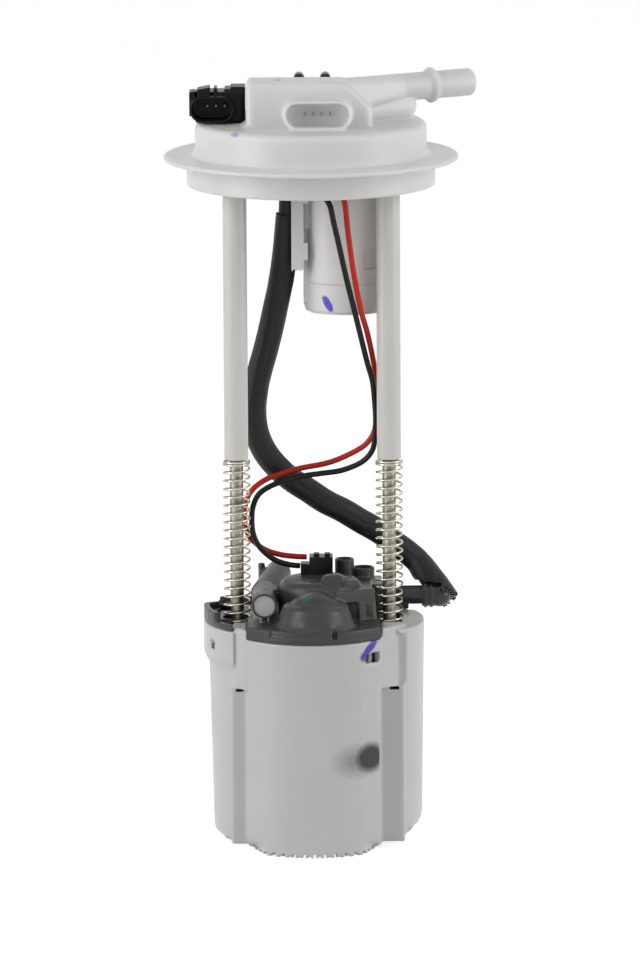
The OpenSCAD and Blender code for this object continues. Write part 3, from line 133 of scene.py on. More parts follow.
def length_of(path):
    return sum((b - a).length for a, b in zip(path, path[1:]))


def mesh_object(name, verts, faces, smooth=True):
    me = bpy.data.meshes.new(name)
    me.from_pydata([tuple(v) for v in verts], [], faces)
    me.update()
    if smooth:
        me.polygons.foreach_set("use_smooth", [True] * len(me.polygons))
    ob = bpy.data.objects.new(name, me)
    scene.collection.objects.link(ob)
    return ob


def tube_mesh(path, radius, sides):
    """Vertices and faces of a tube with closed ends."""
    fr = frames(path)
    n = len(path)
    verts, faces = [], []
    for p, (t, u, v) in zip(path, fr):
        for k in range(sides):
            a = 2 * math.pi * k / sides
            verts.append(p + (u * math.cos(a) + v * math.sin(a)) * radius)
    for i in range(n - 1):
        for k in range(sides):
            a, b = i * sides + k, i * sides + (k + 1) % sides
            faces.append((a, b, b + sides, a + sides))
    faces.append(tuple(range(sides - 1, -1, -1)))
    faces.append(tuple((n - 1) * sides + k for k in range(sides)))
    return verts, faces


# Shader parts
NOISE_LOW, NOISE_HIGH = 0.3, 0.7


def new_material(name):
    m = bpy.data.materials.new(name)
    m.use_nodes = True
    nt = m.node_tree
    nt.nodes.clear()
    out = nt.nodes.new("ShaderNodeOutputMaterial")
    bsdf = nt.nodes.new("ShaderNodeBsdfPrincipled")
    nt.links.new(bsdf.outputs[0], out.inputs[0])
    return m, nt, bsdf


def coords(nt):
    return nt.nodes.new("ShaderNodeTexCoord").outputs["Object"]


def noise_node(nt, vec, scale, detail):
    n = nt.nodes.new("ShaderNodeTexNoise")
    n.inputs["Scale"].default_value = scale
    n.inputs["Detail"].default_value = detail
    nt.links.new(vec, n.inputs["Vector"])
    return n.outputs["Fac"]


def ramp(nt, fac, low, high):
    """Runs from one colour to another over a noise's usual range."""
    r = nt.nodes.new("ShaderNodeValToRGB")
    for e, position, colour in zip(r.color_ramp.elements, (NOISE_LOW, NOISE_HIGH), (low, high)):
        e.position = position
        e.color = tuple(colour) + (1,)
    nt.links.new(fac, r.inputs[0])
    return r.outputs[0]


def map_range(nt, fac, a, b, lo, hi):
    r = nt.nodes.new("ShaderNodeMapRange")
    for i, value in enumerate((a, b, lo, hi), 1):
        r.inputs[i].default_value = value
    nt.links.new(fac, r.inputs[0])
    return r.outputs[0]


def math_node(nt, operation, first, second):
    """One step of arithmetic on two values, each a socket or a number."""
    n = nt.nodes.new("ShaderNodeMath")
    n.operation = operation
    for i, value in enumerate((first, second)):
        if isinstance(value, (int, float)):
            n.inputs[i].default_value = value
        else:
            nt.links.new(value, n.inputs[i])
    return n.outputs[0]


def ink_over(nt, fac, tone, ink):
    """Lays a plain colour over a tone by a mask."""
    mix = nt.nodes.new("ShaderNodeMix")
    mix.data_type = "RGBA"
    nt.links.new(fac, mix.inputs[0])
    nt.links.new(tone, mix.inputs[6])
    mix.inputs[7].default_value = tuple(ink) + (1,)
    return mix.outputs[2]


def relief(nt, bsdf, height, strength, depth, edge):
    """Fine relief and rounded edges, depth and edge in millimetres; an edge of 0 is left as it is."""
    b = nt.nodes.new("ShaderNodeBump")
    b.inputs["Strength"].default_value = strength
    b.inputs["Distance"].default_value = depth * MM
    nt.links.new(height, b.inputs["Height"])
    if edge:
        rim = nt.nodes.new("ShaderNodeBevel")
        rim.samples = 4
        rim.inputs["Radius"].default_value = edge * MM
        nt.links.new(rim.outputs[0], b.inputs["Normal"])
    nt.links.new(b.outputs[0], bsdf.inputs["Normal"])


def mark(centre, radii, ink, share, turn=0, soft=0.3, ragged=0.1, edge_x=None):
    """A stroke or stain for a moulding: an ellipsoid of ink, and the share of it that shows."""
    return (centre, radii, turn, soft, ragged, edge_x), ink, share


def spot(nt, vec, centre, radii, turn, soft, ragged, edge_x):
    """Mask of a soft ellipsoid, cut off beyond edge_x: millimetres, turn in degrees about Y."""
    fray_scale = 700
    mp = nt.nodes.new("ShaderNodeMapping")
    mp.vector_type = "TEXTURE"
    mp.inputs["Location"].default_value = [c * MM for c in centre]
    mp.inputs["Rotation"].default_value = (0, math.radians(turn), 0)
    mp.inputs["Scale"].default_value = [r * MM for r in radii]
    nt.links.new(vec, mp.inputs["Vector"])
    far = nt.nodes.new("ShaderNodeVectorMath")
    far.operation = "LENGTH"
    nt.links.new(mp.outputs[0], far.inputs[0])
    fray = map_range(nt, noise_node(nt, vec, fray_scale, 4), NOISE_LOW, NOISE_HIGH, -ragged, ragged)
    reach = math_node(nt, "ADD", far.outputs["Value"], fray)
    mask = map_range(nt, reach, 1 - soft, 1 + soft, 1, 0)
    if edge_x is None:
        return mask
    apart = nt.nodes.new("ShaderNodeSeparateXYZ")
    nt.links.new(vec, apart.inputs[0])
    inside = math_node(nt, "LESS_THAN", apart.outputs["X"], edge_x * MM)
    return math_node(nt, "MULTIPLY", mask, inside)


def plastic(name, colour, rough, vary=0.2, blotch=80, grain=700, depth=0.03, edge=0.0, spec=0.5, sss=0.0,
            scatter=3, marks=()):
    """Moulded plastic: slow tone and roughness drift, fine grain and rounded edges in millimetres."""
    rough_drift, grain_strength = 0.08, 0.25
    m, nt, b = new_material(name)
    vec = coords(nt)
    low = [c * (1 - vary) for c in colour]
    high = [min(1, c * (1 + vary * 0.6)) for c in colour]
    tone = ramp(nt, noise_node(nt, vec, blotch, 3), low, high)
    for where, ink, share in marks:
        tone = ink_over(nt, math_node(nt, "MULTIPLY", spot(nt, vec, *where), share), tone, ink)
    nt.links.new(tone, b.inputs["Base Color"])
    wear = noise_node(nt, vec, blotch * 4, 4)
    drift = map_range(nt, wear, NOISE_LOW, NOISE_HIGH, rough - rough_drift, rough + rough_drift)
    nt.links.new(drift, b.inputs["Roughness"])
    relief(nt, b, noise_node(nt, vec, grain, 2), grain_strength, depth, edge)
    b.inputs["Specular IOR Level"].default_value = spec
    if sss:
        b.inputs["Subsurface Weight"].default_value = sss
        b.inputs["Subsurface Radius"].default_value = (1.0, 0.95, 0.85)
        b.inputs["Subsurface Scale"].default_value = scatter * MM
    return m


def metal(name, colour, rough, streak, vary, dirt=None, edge=0.2):
    """Drawn or turned steel: stretched streaks in tone and roughness, with a little tarnish."""
    tarnish_scale, tarnish_low, tarnish_high = 120, 0.48, 0.72
    smoothest, roughest = 0.75, 1.3
    scratch_strength, scratch_depth = 0.15, 0.02
    m, nt, b = new_material(name)
    vec = coords(nt)
    mp = nt.nodes.new("ShaderNodeMapping")
    mp.inputs["Scale"].default_value = streak
    nt.links.new(vec, mp.inputs["Vector"])
    streaks = noise_node(nt, mp.outputs[0], 1.0, 3)
    low = [c * (1 - vary) for c in colour]
    high = [min(1, c * (1 + vary)) for c in colour]
    tone = ramp(nt, streaks, low, high)
    if dirt:
        patches = map_range(nt, noise_node(nt, vec, tarnish_scale, 5), tarnish_low, tarnish_high, 0, 1)
        tone = ink_over(nt, patches, tone, dirt)
    nt.links.new(tone, b.inputs["Base Color"])
    b.inputs["Metallic"].default_value = 1
    drift = map_range(nt, streaks, NOISE_LOW, NOISE_HIGH, rough * smoothest, rough * roughest)
    nt.links.new(drift, b.inputs["Roughness"])
    relief(nt, b, streaks, scratch_strength, scratch_depth, edge)
    return m


# Materials
PURPLE = (0.045, 0.018, 0.38)
BLUE = (0.03, 0.03, 0.55)
GREEN = (0.02, 0.16, 0.08)
SOOT = (0.004, 0.004, 0.003)
PANEL_EDGE = 29.9
STAIN = mark((25.4, -38, 45.4), (6, 20, 6.4), SOOT, 0.99, soft=0.26, ragged=0.04, edge_x=PANEL_EDGE)
SMEAR = mark((20, -38, 44.6), (7.2, 20, 4.8), SOOT, 0.7, soft=0.95, edge_x=PANEL_EDGE)
STROKE = mark((25.6, -38, 96.6), (5, 20, 1.7), PURPLE, 0.98, turn=-48, soft=0.2)
STROKE_END = mark((23, -38, 92.8), (1.9, 20, 2.4), PURPLE, 0.93)
VALVE_DAB = mark((7.2, -9.2, 250.4), (4.2, 6, 1.7), BLUE, 0.95, turn=60, soft=0.12)
TURRET_DAB = mark((-15, -15, 354.3), (1.8, 2.4, 1), PURPLE, 0.6, soft=0.5)
DECK_DAB = mark((-35, -40, 333.4), (2.2, 2.6, 1.6), PURPLE, 0.7, soft=0.5)
DOME_DAB = mark((-3, -38, 119.4), (2.7, 3, 1.6), GREEN, 0.7, ragged=0.3)

WHITE_TANK = plastic("acetal_tank", (0.58, 0.575, 0.565), 0.36, vary=0.03, blotch=30, grain=60,
                     depth=0.04, sss=0.25, marks=[STAIN, SMEAR, STROKE, STROKE_END])
WHITE_VALVE = plastic("acetal_valve", (0.78, 0.77, 0.75), 0.38, vary=0.03, blotch=30, grain=60, edge=0.6,
                      sss=0.15, marks=[VALVE_DAB])
WHITE_FLANGE = plastic("acetal_gloss", (0.75, 0.745, 0.735), 0.38, vary=0.025, blotch=30, grain=60,
                       sss=0.6, scatter=9, marks=[TURRET_DAB, DECK_DAB])
WHITE_TUBE = plastic("tube_white", (0.66, 0.65, 0.625), 0.36, vary=0.03, blotch=40, grain=60, edge=0.4,
                     sss=0.15)
GREY = plastic("cover_grey", (0.05, 0.051, 0.047), 0.34, vary=0.12, blotch=60, grain=600, depth=0.04,
               spec=0.3, marks=[DOME_DAB])
BLACK = plastic("black_plastic", (0.007, 0.008, 0.009), 0.32, depth=0.04, edge=0.4, spec=0.18)
PIPE_BLACK = plastic("pipe_black", (0.022, 0.024, 0.026), 0.24, grain=400, edge=0.4, spec=0.4)
SENSOR_BLACK = plastic("sensor_black", (0.006, 0.007, 0.008), 0.34, depth=0.04, spec=0.14)
DULL_PIN = plastic("pin_dull", (0.40, 0.39, 0.35), 0.5, vary=0.1, blotch=200, grain=900, depth=0.02)
CLIP_GREY = plastic("clip_grey", (0.045, 0.045, 0.05), 0.3, depth=0.04, edge=0.4)
PLUG_WHITE = plastic("plug_white", (0.5, 0.5, 0.51), 0.4, vary=0.06, blotch=120, edge=0.5)
RUBBER = plastic("rubber", (0.015, 0.015, 0.015), 0.65, blotch=90, grain=500, depth=0.06, edge=0.5)
RESIN = plastic("resin_cream", (0.58, 0.55, 0.46), 0.42, vary=0.06, blotch=60, edge=0.4)
MAGNET = plastic("magnet", (0.05, 0.05, 0.055), 0.55, blotch=200, grain=900, depth=0.08, edge=0.3)
WIRE_BLACK = plastic("wire_black", (0.007, 0.007, 0.007), 0.36, spec=0.2)
WIRE_RED = plastic("wire_red", (0.50, 0.018, 0.010), 0.34, vary=0.15, spec=0.25)
HOSE_BLACK = plastic("hose_black", (0.006, 0.006, 0.007), 0.4, spec=0.25)
BRAID = plastic("braid", (0.011, 0.012, 0.012), 0.36, vary=0.3, blotch=400, grain=900, depth=0.02,
                spec=0.26)
STRAINER = plastic("strainer_mesh", (0.55, 0.52, 0.42), 0.7, vary=0.1, blotch=200, grain=2500, depth=0.2,
                   edge=0.4)
FOAM = plastic("float_foam", (0.02, 0.02, 0.021), 0.7, vary=0.3, blotch=300, grain=1500, depth=0.3,
               edge=1)
ROD = metal("rod_steel", (0.31, 0.29, 0.25), 0.34, streak=(300, 300, 40), vary=0.25,
            dirt=(0.10, 0.085, 0.065))
SPRING = metal("spring_steel", (0.54, 0.50, 0.42), 0.26, streak=(400, 400, 400), vary=0.2, edge=0)
CAN = metal("can_steel", (0.56, 0.56, 0.54), 0.3, streak=(60, 60, 900), vary=0.08)
CLIP_STEEL = metal("clip_steel", (0.22, 0.20, 0.18), 0.4, streak=(200, 200, 200), vary=0.2)
TIN = metal("terminal_tin", (0.62, 0.60, 0.52), 0.35, streak=(500, 500, 500), vary=0.15)
COPPER = metal("copper", (0.62, 0.30, 0.16), 0.35, streak=(60, 60, 2500), vary=0.25)

BY_NODE = {
    WHITE_FLANGE: ["flange"],
    WHITE_TANK: ["reservoir"],
    WHITE_VALVE: ["vent_valve_body", "vent_valve_cap", "hose_guide"],
    WHITE_TUBE: ["left_guide_tube", "right_guide_tube"],
    GREY: ["reservoir_cover"],
    BLACK: ["flange_plug", "pressure_sensor", "pump_plug", "pump_end_cap", "filter_pipe"],
    PIPE_BLACK: ["hose_elbow", "outlet_nipple"],
    CLIP_GREY: ["feed_line_clip"],
    PLUG_WHITE: ["return_tube_plug"],
    RUBBER: ["sensor_grommet", "pump_isolator", "inlet_umbrella_valve"],
    RESIN: ["level_sender", "jet_pump", "pump_impeller", "check_valve_poppet", "vent_valve_float"],
    ROD: ["left_guide_rod", "right_guide_rod", "pump_shaft", "float_arm"],
    SPRING: ["left_spring", "right_spring"],
    CAN: ["pump_housing", "fuel_filter", "pressure_regulator", "pump_inlet_plate"],
    CLIP_STEEL: ["rod_clips"],
    TIN: ["flange_terminals", "sensor_terminals", "pump_terminals"],
    COPPER: ["pump_armature"],
    MAGNET: ["pump_magnets"],
    WIRE_BLACK: ["black_wire"],
    WIRE_RED: ["red_wire"],
    HOSE_BLACK: ["fuel_hose"],
    BRAID: ["hose_sleeve"],
    STRAINER: ["pump_strainer"],
    FOAM: ["float"],
}
for material, names in BY_NODE.items():
    for name in names:
        ob = NODES[name]
        if ob.material_slots:
            for s in ob.material_slots:
                s.material = material
        else:
            ob.data.materials.append(material)


def dress(ob, material):
    ob.data.materials.clear()
    ob.data.materials.append(material)


# Closed forms in millimetres, each a list of corners and a list of faces
def arc(x, y, r, start, end, steps):
    turns = [math.radians(start + (end - start) * i / steps) for i in range(steps + 1)]
    return [(x + r * math.cos(a), y + r * math.sin(a)) for a in turns]


def rounded(low, high, r):
    """Outline of a box with round corners."""
    return (arc(high[0] - r, high[1] - r, r, 0, 90, 5) + arc(low[0] + r, high[1] - r, r, 90, 180, 5)
            + arc(low[0] + r, low[1] + r, r, 180, 270, 5) + arc(high[0] - r, low[1] + r, r, 270, 360, 5))


def stadium(x, z, w, h):
    """Outline with two round ends."""
    return arc(x + (w - h) / 2, z, h / 2, -90, 90, 16) + arc(x - (w - h) / 2, z, h / 2, 90, 270, 16)


def loft(plan_a, a, plan_b, b, axis="z"):
    """A solid between two outlines with as many corners, at two places along an axis."""
    n = len(plan_a)
    corners = []
    for plan, h in ((plan_a, a), (plan_b, b)):
        corners += [Vector((u, v, h) if axis == "z" else (u, h, v)) * MM for u, v in plan]
    faces = [tuple(range(n)), tuple(range(n, 2 * n))]
    faces += [(i, (i + 1) % n, n + (i + 1) % n, n + i) for i in range(n)]
    return corners, faces


def prism(plan, low, high, axis="z"):
    return loft(plan, low, plan, high, axis)


def box(low, high):
    (x0, y0, z0), (x1, y1, z1) = low, high
    return prism([(x0, y0), (x1, y0), (x1, y1), (x0, y1)], z0, z1)


def turned(profile, x, y):
    """A ring round an upright axis: profile is a closed outline of radius and height."""
    steps = 64
    n = len(profile)
    corners, faces = [], []
    for k in range(steps):
        a = 2 * math.pi * k / steps
        corners += [Vector((x + r * math.cos(a), y + r * math.sin(a), z)) * MM for r, z in profile]
        for i in range(n):
            j, m = (i + 1) % n, (k + 1) % steps * n
            faces.append((k * n + i, k * n + j, m + j, m + i))
    return corners, faces


def hull(points):
    """The convex solid round some points."""
    bm = bmesh.new()
    for p in points:
        bm.verts.new(Vector(p) * MM)
    bmesh.ops.convex_hull(bm, input=list(bm.verts))
    bmesh.ops.delete(bm, geom=[v for v in bm.verts if not v.link_faces], context="VERTS")
    bm.verts.index_update()
    corners = [v.co.copy() for v in bm.verts]
    faces = [tuple(v.index for v in f.verts) for f in bm.faces]
    bm.free()
    return corners, faces


def at_turn(part, x, y, turn):
    """A form drawn at the origin, turned about Z and moved out."""
    place = Matrix.Translation((x * MM, y * MM, 0)) @ Matrix.Rotation(math.radians(turn), 4, "Z")
    return [place @ c for c in part[0]], part[1]


def rod(a, b, r):
    """A straight round bar."""
    return tube_mesh([Vector(a) * MM, Vector(b) * MM], r * MM, 32)


def joined(name, parts):
    """One object of several closed forms, with every face turned outwards."""
    corners, faces = [], []
    for v, f in parts:
        base = len(corners)
        corners += v
        faces += [tuple(base + i for i in q) for q in f]
    ob = mesh_object(name, corners, faces, False)
    bm = bmesh.new()
    bm.from_mesh(ob.data)
    bmesh.ops.remove_doubles(bm, verts=bm.verts, dist=1e-7)
    bmesh.ops.recalc_face_normals(bm, faces=bm.faces)
    bm.to_mesh(ob.data)
    bm.free()
    return ob


# Mouldings with rounded edges
def moulding(name, base, steps, voxel, relax, share, material, body, node, shape=None, crisp=None):
    """A base mesh with forms added and cut, remeshed evenly so that its edges are round, relaxed and thinned.

    Steps are pairs of a boolean operation and the forms it takes. Voxel is the size of the new mesh in
    millimetres, relax the number of smoothing passes and share the share of faces kept. Shape is a last
    move of the points, and crisp holds the forms cut after the rest, which keep sharp edges.
    """
    ob = bpy.data.objects.new(name, base.copy())
    scene.collection.objects.link(ob)
    tools = []

    def cut(label, operation, parts):
        tool = joined("%s_tool_%s" % (name, label), parts)
        tools.append(tool)
        step = ob.modifiers.new(label, "BOOLEAN")
        step.operation = operation
        step.solver = "EXACT"
        step.object = tool
        return step

    weld = ob.modifiers.new("weld", "WELD")
    weld.merge_threshold = 1e-6
    for k, (operation, parts) in enumerate(steps):
        cut("step_%d" % k, operation, parts).use_self = True
    even = ob.modifiers.new("remesh", "REMESH")
    even.mode = "VOXEL"
    even.voxel_size = voxel * MM
    soften = ob.modifiers.new("relax", "SMOOTH")
    soften.factor = 0.5
    soften.iterations = relax
    thin = ob.modifiers.new("thin", "DECIMATE")
    thin.ratio = share
    if crisp:
        cut("crisp", "DIFFERENCE", crisp)
    bpy.context.view_layer.update()
    me = bpy.data.meshes.new_from_object(ob.evaluated_get(bpy.context.evaluated_depsgraph_get()))
    ob.modifiers.clear()
    ob.data = me
    for tool in tools:
        bpy.data.objects.remove(tool)
    if shape:
        co = np.empty(len(me.vertices) * 3)
        me.vertices.foreach_get("co", co)
        co = shape(co.reshape(-1, 3) / MM) * MM
        me.vertices.foreach_set("co", co.ravel())
        me.update()
    me.polygons.foreach_set("use_smooth", [True] * len(me.polygons))
    dress(ob, material)
    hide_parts(node)
    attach(ob, body)


# Levels and radii of the mouldings in millimetres: deck, cover plate, front panel and rods
DECK = 333.4
PLATE = 105.5
FRONT_TOP = 99.8
FRONT_Y = 21.4
SHELL_H = 102.5
SHELL_FLOOR = 3.5
WALL_R, WALL_SPREAD = 46.4, 2.2
FRONT_R, FRONT_SPREAD = 29.0, 1.6
ROD_X, ROD_Y = 35, -11

# Snap windows, each with its circle's centre and radius, its turn and its sill
FRONT_TOP_R, REAR_TOP_R = 30.6, 50.6
WINDOWS = [(0, -FRONT_Y, FRONT_TOP_R, -38, 89.4), (0, 0, REAR_TOP_R, 203, 92)]
FILLED_WINDOWS = [(0, -FRONT_Y, FRONT_TOP_R, -33), (0, 0, REAR_TOP_R, 199)]
WINDOW_W, WINDOW_H = 5.6, 4.4
HOOK_W = 4.8


def fair_front(grow):
    """Blends the round front panel into the body, so that no crease runs down the wall."""
    blend = 9.0
    skin_depth, skin_fade = 3.2, 2.6
    side_x, side_y, side_fade = 30.35, -24, 6

    def shape(co):
        x, y, z = co[:, 0], co[:, 1], co[:, 2]
        up = np.clip(z / SHELL_H, 0, 1)
        far_a = np.hypot(x, y)
        far_b = np.hypot(x, y + FRONT_Y)
        a = far_a - (WALL_R + WALL_SPREAD * up + grow)
        b = far_b - (FRONT_R + FRONT_SPREAD * up + grow)
        h = np.clip(1 - np.abs(a - b) / blend, 0, 1)
        push = h * h * blend / 4
        skin = np.clip((np.minimum(a, b) + skin_depth) / skin_fade, 0, 1)
        skin *= np.clip((side_y - y) / side_fade, 0, 1) * (np.abs(x) < side_x)
        t = np.clip(0.5 + (a - b) / (2 * blend), 0, 1)
        nx = (1 - t) * x / np.maximum(far_a, 1) + t * x / np.maximum(far_b, 1)
        ny = (1 - t) * y / np.maximum(far_a, 1) + t * (y + FRONT_Y) / np.maximum(far_b, 1)
        out = co.copy()
        out[:, 0] += nx * push * skin
        out[:, 1] += ny * push * skin
        return out
    return shape


def post(x0, x1, r, back, low, high):
    """Part of a post whose front lies on a circle round the body's axis."""
    xs = [x0 + (x1 - x0) * i / 5 for i in range(6)]
    front = [(x, -math.sqrt(r * r - x * x)) for x in xs]
    return prism(front + [(x1, back), (x0, back)], low, high)


def dressed_reservoir():
    post_z, seat_z, post_top = 76, 101, 104.2
    left_post, right_post = (-36.8, -30.6, 48.9), (30.9, 41, 47.6)
    lobe_top = (100.4, SHELL_H)
    slit_low, slit_high = post_z - 1.4, post_z + 0.2
    feet, foot_gap, foot_gap_h = 38, 1.5, 1.9
    cut_front = box((-30.4, -60, FRONT_TOP), (30.4, -FRONT_Y, 120))
    corner = box((PANEL_EDGE, -60, SHELL_FLOOR), (32.6, -30.5, post_z))
    posts = []
    for x0, x1, r in (left_post, right_post):
        posts.append(post(x0, x1, r, -13, post_z, seat_z))
        posts.append(post(x0, x1, r, -18.3, seat_z - 1, post_top))
    lobe = [(38.5, 19.8), (38.5, -30)] + arc(0, 0, 50.2, -36.5, 23.4, 24)
    walls = [box((27.9, -34, SHELL_FLOOR), (PANEL_EDGE, -29, post_z + 0.5)),
             box((-38, -34, SHELL_FLOOR), (-29, -32, post_z + 0.5)),
             box((29, -30.5, SHELL_FLOOR), (41.5, -28.5, post_z + 0.5)),
             prism(lobe, *lobe_top)]
    for x, y, r, turn in FILLED_WINDOWS:
        walls.append(at_turn(box((r - 2.1, -3.4, 88.8), (r - 0.4, 3.4, 94.6)), x, y, turn))
    crisp = [box((-35.6, -50, slit_low), (-32.2, -31, slit_high)),
             box((34.6, -45, slit_low), (39, -27.5, slit_high))]
    for x, y, r, turn, z in WINDOWS:
        opening = box((r - 1.9, -WINDOW_W / 2, z), (r + 4, WINDOW_W / 2, z + WINDOW_H))
        crisp.append(at_turn(opening, x, y, turn))
    gap = box((26, -foot_gap / 2, -1), (33, foot_gap / 2, foot_gap_h))
    crisp += [at_turn(gap, 0, -FRONT_Y, 360 * (k + 0.5) / feet) for k in range(feet)]
    moulding("reservoir_moulding", NODES["reservoir"].data,
             [("DIFFERENCE", [cut_front]), ("DIFFERENCE", [corner]), ("UNION", posts), ("UNION", walls)],
             voxel=0.7, relax=4, share=0.3, material=WHITE_TANK,
             body="reservoir_body", node="reservoir", shape=fair_front(0), crisp=crisp)


def dressed_cover():
    band = arc(0, 0, 48.4, -129.2, -50, 40) + arc(0, 0, 44.6, -50, -129.2, 40)
    ridge_foot = [(9, -29.5), (29.3, -19.6), (27.8, -15), (27.8, 24), (9, 24)]
    ridge_top = [(10, -27.6), (28.2, -18.8), (26.8, -14.5), (26.8, 20), (10, 20)]
    ridge = loft(ridge_foot, PLATE - 1, ridge_top, PLATE + 14)
    dome_foot = [(12, PLATE - 1), (18.8, PLATE - 1), (18.6, PLATE + 0.5), (17.7, PLATE + 1.7),
                 (17, PLATE + 3.5), (16.3, PLATE + 6), (15, PLATE + 9), (12, PLATE + 10.5)]
    ports = [turned([(3.3, 117), (4.5, 117), (4.5, 127.8), (4.2, 128.2), (3.3, 128.2)], 14.4, 12),
             turned([(4.2, 117), (5.3, 117), (5.3, 123.6), (5, 124), (4.2, 124)], 23, 13)]
    groove_low, groove_high = 102.2, 107
    groove_plan = arc(0, -FRONT_Y, 40, -128, -72, 20) + arc(0, -FRONT_Y, 30.1, -72, -128, 20)
    grooves = [prism(groove_plan, groove_low, groove_high)]
    grooves += [box((x - 1, -60, groove_low), (x + 1, -48.6, groove_high)) for x in (-18.2, 9.5)]
    recesses = [box((14, -35, PLATE), (20.8, -22.6, PLATE + 8.5)),
                box((23.6, -35, PLATE + 1), (27.2, -20.8, PLATE + 7))]
    hooks = []
    for x, y, r, turn, z in WINDOWS:
        hook = box((r - 3, -HOOK_W / 2, z - 0.3), (r - 0.8, HOOK_W / 2, z + 2.6))
        hooks.append(at_turn(hook, x, y, turn))
    moulding("cover_moulding", NODES["reservoir_cover"].data,
             [("UNION", hooks), ("UNION", [prism(band, FRONT_TOP, PLATE - 0.2)]),
              ("UNION", [turned(dome_foot, 1, -33)]), ("UNION", [ridge]), ("UNION", ports),
              ("DIFFERENCE", grooves), ("DIFFERENCE", recesses)],
             voxel=0.42, relax=4, share=0.4, material=GREY,
             body="reservoir_body", node="reservoir_cover", shape=fair_front(0.3))


def narrow_turret(co):
    """Draws the turret's left end in."""
    start_x, end_x, narrower, over = -20, -31.6, 1.6, 11
    mid_y, half_y = -13, 12
    foot, fade = DECK + 0.5, 1.5
    out = co.copy()
    x, y, z = co[:, 0], co[:, 1], co[:, 2]
    end = (z > foot) & (x < start_x) & (x > end_x) & (np.abs(y - mid_y) < half_y)
    rise = np.clip((z - foot) / fade, 0, 1)
    out[:, 0] = np.where(end, x - (x - start_x) / over * narrower * rise, x)
    return out


SHROUD_X, SHROUD_Z = 3.1, DECK + 6.9
SHROUD_FACE = -34.5
PIPE_TURN = math.radians(30)
PIPE_R = 6.3


def dressed_flange():
    turret_front = -24
    along = Vector((math.cos(PIPE_TURN), math.sin(PIPE_TURN), 0))
    side = Vector((-along.y, along.x, 0))
    up = Vector((0, 0, 1))
    stub_root = Vector((9, -13, DECK + 6.1))
    stub = [rod(stub_root + along * a, stub_root + along * b, r)
            for a, b, r in ((5, 40, PIPE_R), (39, 42, 5.7), (41, 43.2, 4.3))]
    old_shroud = box((-15.5, SHROUD_FACE - 2, DECK + 0.4), (18.5, turret_front - 0.05, DECK + 17.5))
    fill = box((-13, turret_front + 0.1, DECK + 2), (18, -14.2, DECK + 14.5))
    shroud = prism(stadium(SHROUD_X, SHROUD_Z, 31.8, 13.2), SHROUD_FACE, -20, "y")
    cavity = prism(stadium(SHROUD_X, SHROUD_Z, 29.2, 10.8), SHROUD_FACE - 2, SHROUD_FACE + 9, "y")
    pipe = Vector((9, -13, DECK + 14.45)) + along * 37
    ends = [(12, y, z) for y in (-22.8, -4) for z in (DECK + 6.5, DECK + 19.9)]
    ends += [(12, -21.8, DECK + 20.6), (17, -23.4, DECK + 9.5)]
    for k in range(24):
        a = math.radians(15 * k)
        ends.append(pipe + (side * math.cos(a) + up * math.sin(a)) * PIPE_R)
    fairing = hull(ends)
    moulding("flange_moulding", NODES["flange"].data,
             [("DIFFERENCE", [old_shroud]), ("UNION", [fill]), ("UNION", [shroud]), ("UNION", stub),
              ("UNION", [fairing]), ("DIFFERENCE", [cavity])],
             voxel=0.55, relax=7, share=0.4, material=WHITE_FLANGE,
             body="flange_body", node="flange", shape=narrow_turret)


def dressed_sensor():
    face, mid_x, mid_z, right = -12.5, -45, DECK + 7, -29.8
    fins = [([(-55.3, 4), (-52.7, 4), (-52.7, 15.3), (-55.3, 14.9)], 1.5),
            ([(-51.6, 4), (-45.8, 4), (-45.8, 17.2), (-51.6, 16)], 1.5),
            ([(-44.9, 4), (-42.1, 4), (-42.6, 16.8), (-44.1, 16.8)], 2.5)]
    housing = prism(rounded((-52.5, -6.5), (right, 8.5), 2), DECK + 0.2, DECK + 14.4)
    parts = [prism([(-39.3, -5), (right, -5), (right, 8), (-39.3, 8)], DECK + 12, DECK + 15.6),
             prism([(-36.5, -5.5), (right, -5.5), (right, 7), (-36.5, 7)], DECK + 12, DECK + 16.6),
             rod((-40.5, 0.5, 322.5), (-40.5, 0.5, DECK + 2), 3),
             prism(stadium(mid_x, mid_z, 20.4, 12), face, face + 14, "y")]
    for outline, back in fins:
        parts.append(prism([(x, DECK + z) for x, z in outline], face + back, face + 12.5, "y"))
    cavity = prism(stadium(mid_x, mid_z, 18.2, 10), face - 1, face + 10, "y")
    base = joined("sensor_base", [housing])
    moulding("sensor_moulding", base.data, [("UNION", parts), ("DIFFERENCE", [cavity])],
             voxel=0.35, relax=3, share=0.4, material=SENSOR_BLACK,
             body="flange_body", node="pressure_sensor")
    bpy.data.objects.remove(base)


def blades(name, xs, y0, y1, z, half, node):
    """Straight square pins side by side; half is half their thickness."""
    ob = joined(name, [box((x - half, y0, z - half), (x + half, y1, z + half)) for x in xs])
    dress(ob, DULL_PIN)
    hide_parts(node)
    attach(ob, "flange_body")


def dressed_valve():
    """Flat left side of the vent valve, which carries the hose guide."""
    low_z, joint_z, top_z = 245.4, 248.6, 284.2
    plan = [(-3.7, 3), (-3.2, 0.5), (1, -3.6), (7, -8.6), (9, -8), (9, 17), (-3.7, 15)]
    low_plan = [(-2.6, 3), (-2, 1), (2, -2.8), (7, -7), (9, -7), (9, 16), (-2.6, 14)]
    web = box((-4.4, -2, 284), (0, 12, 300))
    ob = joined("valve_side", [loft(low_plan, low_z, plan, joint_z), prism(plan, joint_z, top_z), web])
    rounding = ob.modifiers.new("round", "BEVEL")
    rounding.width = 0.6 * MM
    rounding.segments = 3
    rounding.limit_method = "ANGLE"
    dress(ob, WHITE_VALVE)
    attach(ob, "flange_body")


